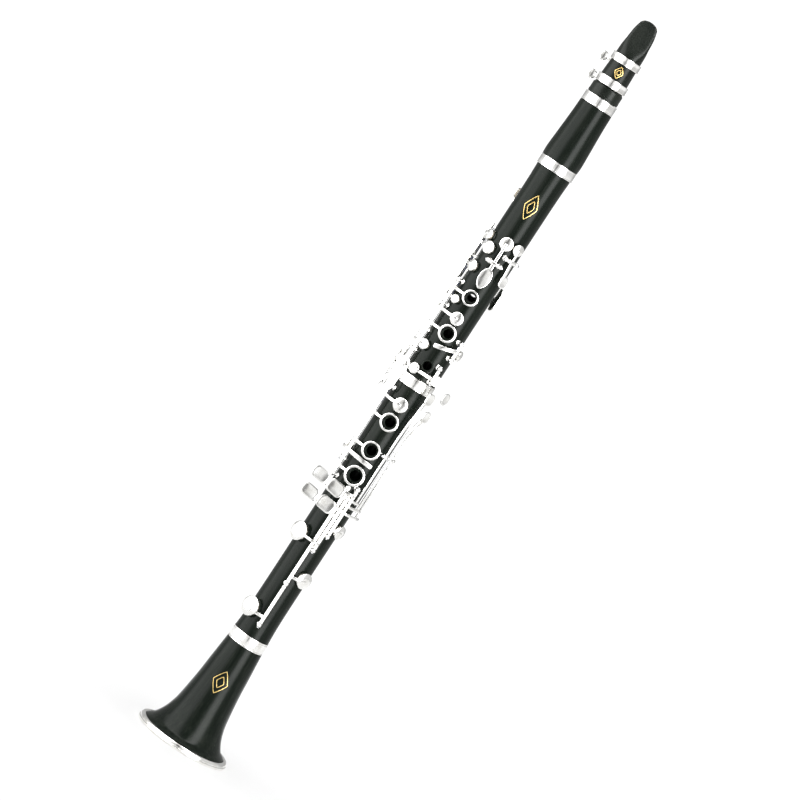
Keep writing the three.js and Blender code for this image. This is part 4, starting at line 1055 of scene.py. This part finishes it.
def make_springs():
    """Blued needle springs, one under each hinge tube, set in its top post."""
    needles = []
    for angle, posts in LINES.values():
        length = min(15, (posts[0] - posts[1]) * 0.7)
        needles.append(rod(at(angle, 16.7, posts[0]), at(angle, 16.5, posts[0] - length), 0.2, 8))
    piece("needle_springs", "body", needles, "blued")


def make_thumb_rest():
    base_y, low, high, reach = 14.4, 276, 298, 31
    base = block((-6, base_y, low), (6, base_y + 1.6, high), 0.6)
    shelf = block((-7, base_y + 0.2, high - 2.4), (7, reach, high), 0.7)
    lip = block((-7, reach - 1.8, high - 5), (7, reach, high - 0.2), 0.7)
    piece("thumb_hook", "body", [base, shelf, lip], "silver", ["thumb_rest"])
    pad = block((-6, 17.5, high - 3.1), (6, 28.6, high - 2.45), 0.25)
    piece("thumb_hook_cork", "body", [pad], "cork")
    face = base_y + 1.6
    for name, z in (("lower", 280.6), ("upper", 288.4)):
        profile = [(0, 10.6), (1.1, 10.6), (1.1, face), (2.3, face), (2.3, face + 0.6),
                   (1.6, face + 1.25), (0, face + 1.4)]
        screw = turned(profile, 0.2, SMALL, facing(180, 0, z), closed=False, steps=2)
        piece(f"hook_screw_{name}", "body", [screw], "steel", [f"thumb_rest_screw_{name}"])


# -------- assembly

make_rings()
make_barrel()
make_bell()
make_joints()
make_bush()
make_ornaments()
make_mouthpiece()
make_reed()
make_ligature()
make_ring_keys()
make_throat_keys()
make_side_keys()
make_left_hand_keys()
make_right_hand_rings()
make_little_finger_keys()
make_levers()
make_posts()
make_springs()
make_thumb_rest()

CARRIED_OVER = {
    "cork": ("mouthpiece_cork", "upper_tenon_cork", "middle_tenon_cork", "lower_tenon_cork"),
    "steel": ("upper_stack_rod", "lower_stack_rod", "low_f_rod", "aflat_rod"),
    "silver": ("register_tube",),
}
for look, names in CARRIED_OVER.items():
    for name in names:
        give_look(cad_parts[name], look)


# -------- floor, light and camera

FLOOR_HALF = 0.6  # metres; small, so that the body reflects the studio lights past its edge
ROOM_LEVEL = 1.15

# Seen in reflections only, by azimuth in degrees: middle, half width, soft edge and strength.
STRIP_LIGHT = (39, 8, 14, 11.0)
SIDE_PANEL = (-62, 22, 22, 4.6)
FRONT_GAP = (-1, 2.5, 3.5, 0.8)
DIM_BACK = (40, 24, 0.35)  # on both sides of 180 degrees


def make_floor():
    mesh = bpy.data.meshes.new("floor")
    half = FLOOR_HALF
    mesh.from_pydata([(-half, -half, 0), (half, -half, 0), (half, half, 0), (-half, half, 0)], [],
                     [(0, 1, 2, 3)])
    floor = new_object("floor", mesh)
    mesh.materials.append(surface(
        "pale paper", ((0.4, (0.90, 0.90, 0.90)), (0.6, (0.93, 0.93, 0.93))), PLAIN, 3,
        (0.85, 0.95), (PLAIN, 900), 0.00001, specular=0.1))


def make_world():
    """Even white light; reflections see a strip light, a panel, a narrow gap and a pale ground."""
    world = bpy.data.worlds.new("studio")
    bpy.context.scene.world = world
    world.use_nodes = True
    nodes = Nodes(world.node_tree)
    direction = nodes.add("ShaderNodeTexCoord").outputs["Generated"]
    split = nodes.add("ShaderNodeSeparateXYZ", {"Vector": direction})
    front = nodes.math("MULTIPLY", split.outputs["Y"], -1.0)
    azimuth = nodes.math("ARCTAN2", split.outputs["X"], front)

    def window(centre, half, soft, strength):
        """`strength` inside a span of azimuth, falling to 0 over `soft` degrees."""
        away = nodes.math("ABSOLUTE", nodes.math("SUBTRACT", azimuth, math.radians(centre)))
        node = nodes.add("ShaderNodeMapRange", {
            "Value": away, "From Min": math.radians(half), "From Max": math.radians(half + soft),
            "To Min": strength, "To Max": 0.0}, interpolation_type="SMOOTHSTEP")
        return node.outputs["Result"]

    level = nodes.span(split.outputs["Z"], 1.05, 0.72, -0.08, -0.02)
    for light in (STRIP_LIGHT, SIDE_PANEL):
        level = nodes.math("ADD", level, window(*light))
    for dark in (FRONT_GAP, (180, *DIM_BACK), (-180, *DIM_BACK)):
        level = nodes.math("MULTIPLY", level, nodes.math("SUBTRACT", 1.0, window(*dark)))
    studio = nodes.add("ShaderNodeBackground", {"Color": (1, 1, 1, 1), "Strength": level})
    white = nodes.add("ShaderNodeBackground", {"Color": (1, 1, 1, 1), "Strength": ROOM_LEVEL})
    reflected = nodes.add("ShaderNodeLightPath").outputs["Is Glossy Ray"]
    mix = nodes.add("ShaderNodeMixShader", {"Fac": reflected})
    world.node_tree.links.new(white.outputs[0], mix.inputs[1])
    world.node_tree.links.new(studio.outputs[0], mix.inputs[2])
    nodes.add("ShaderNodeOutputWorld", {"Surface": mix.outputs[0]})


def make_camera():
    """Level front view from a little above, rolled so that the instrument leans right."""
    data = bpy.data.cameras.new("camera")
    data.lens = 174.6
    camera = new_object("camera", data)
    distance, elevation, lean = 3.0, math.radians(5.4), math.radians(33.18)
    aside = 0.0109  # puts the instrument a little right of and above the middle of the picture
    middle = Vector((0, 0, TIP_Z * MM / 2))
    offset = Vector((0, -math.cos(elevation), math.sin(elevation)))
    turn = (-offset).to_track_quat("-Z", "Y").to_matrix() @ Matrix.Rotation(lean, 3, "Z")
    right, up = turn.col[0], turn.col[1]
    place = middle + offset * distance - (right + up) * aside
    camera.matrix_world = Matrix.Translation(place) @ turn.to_4x4()
    bpy.context.scene.camera = camera


make_floor()
make_world()
make_camera()
bpy.context.scene.view_settings.view_transform = "Standard"
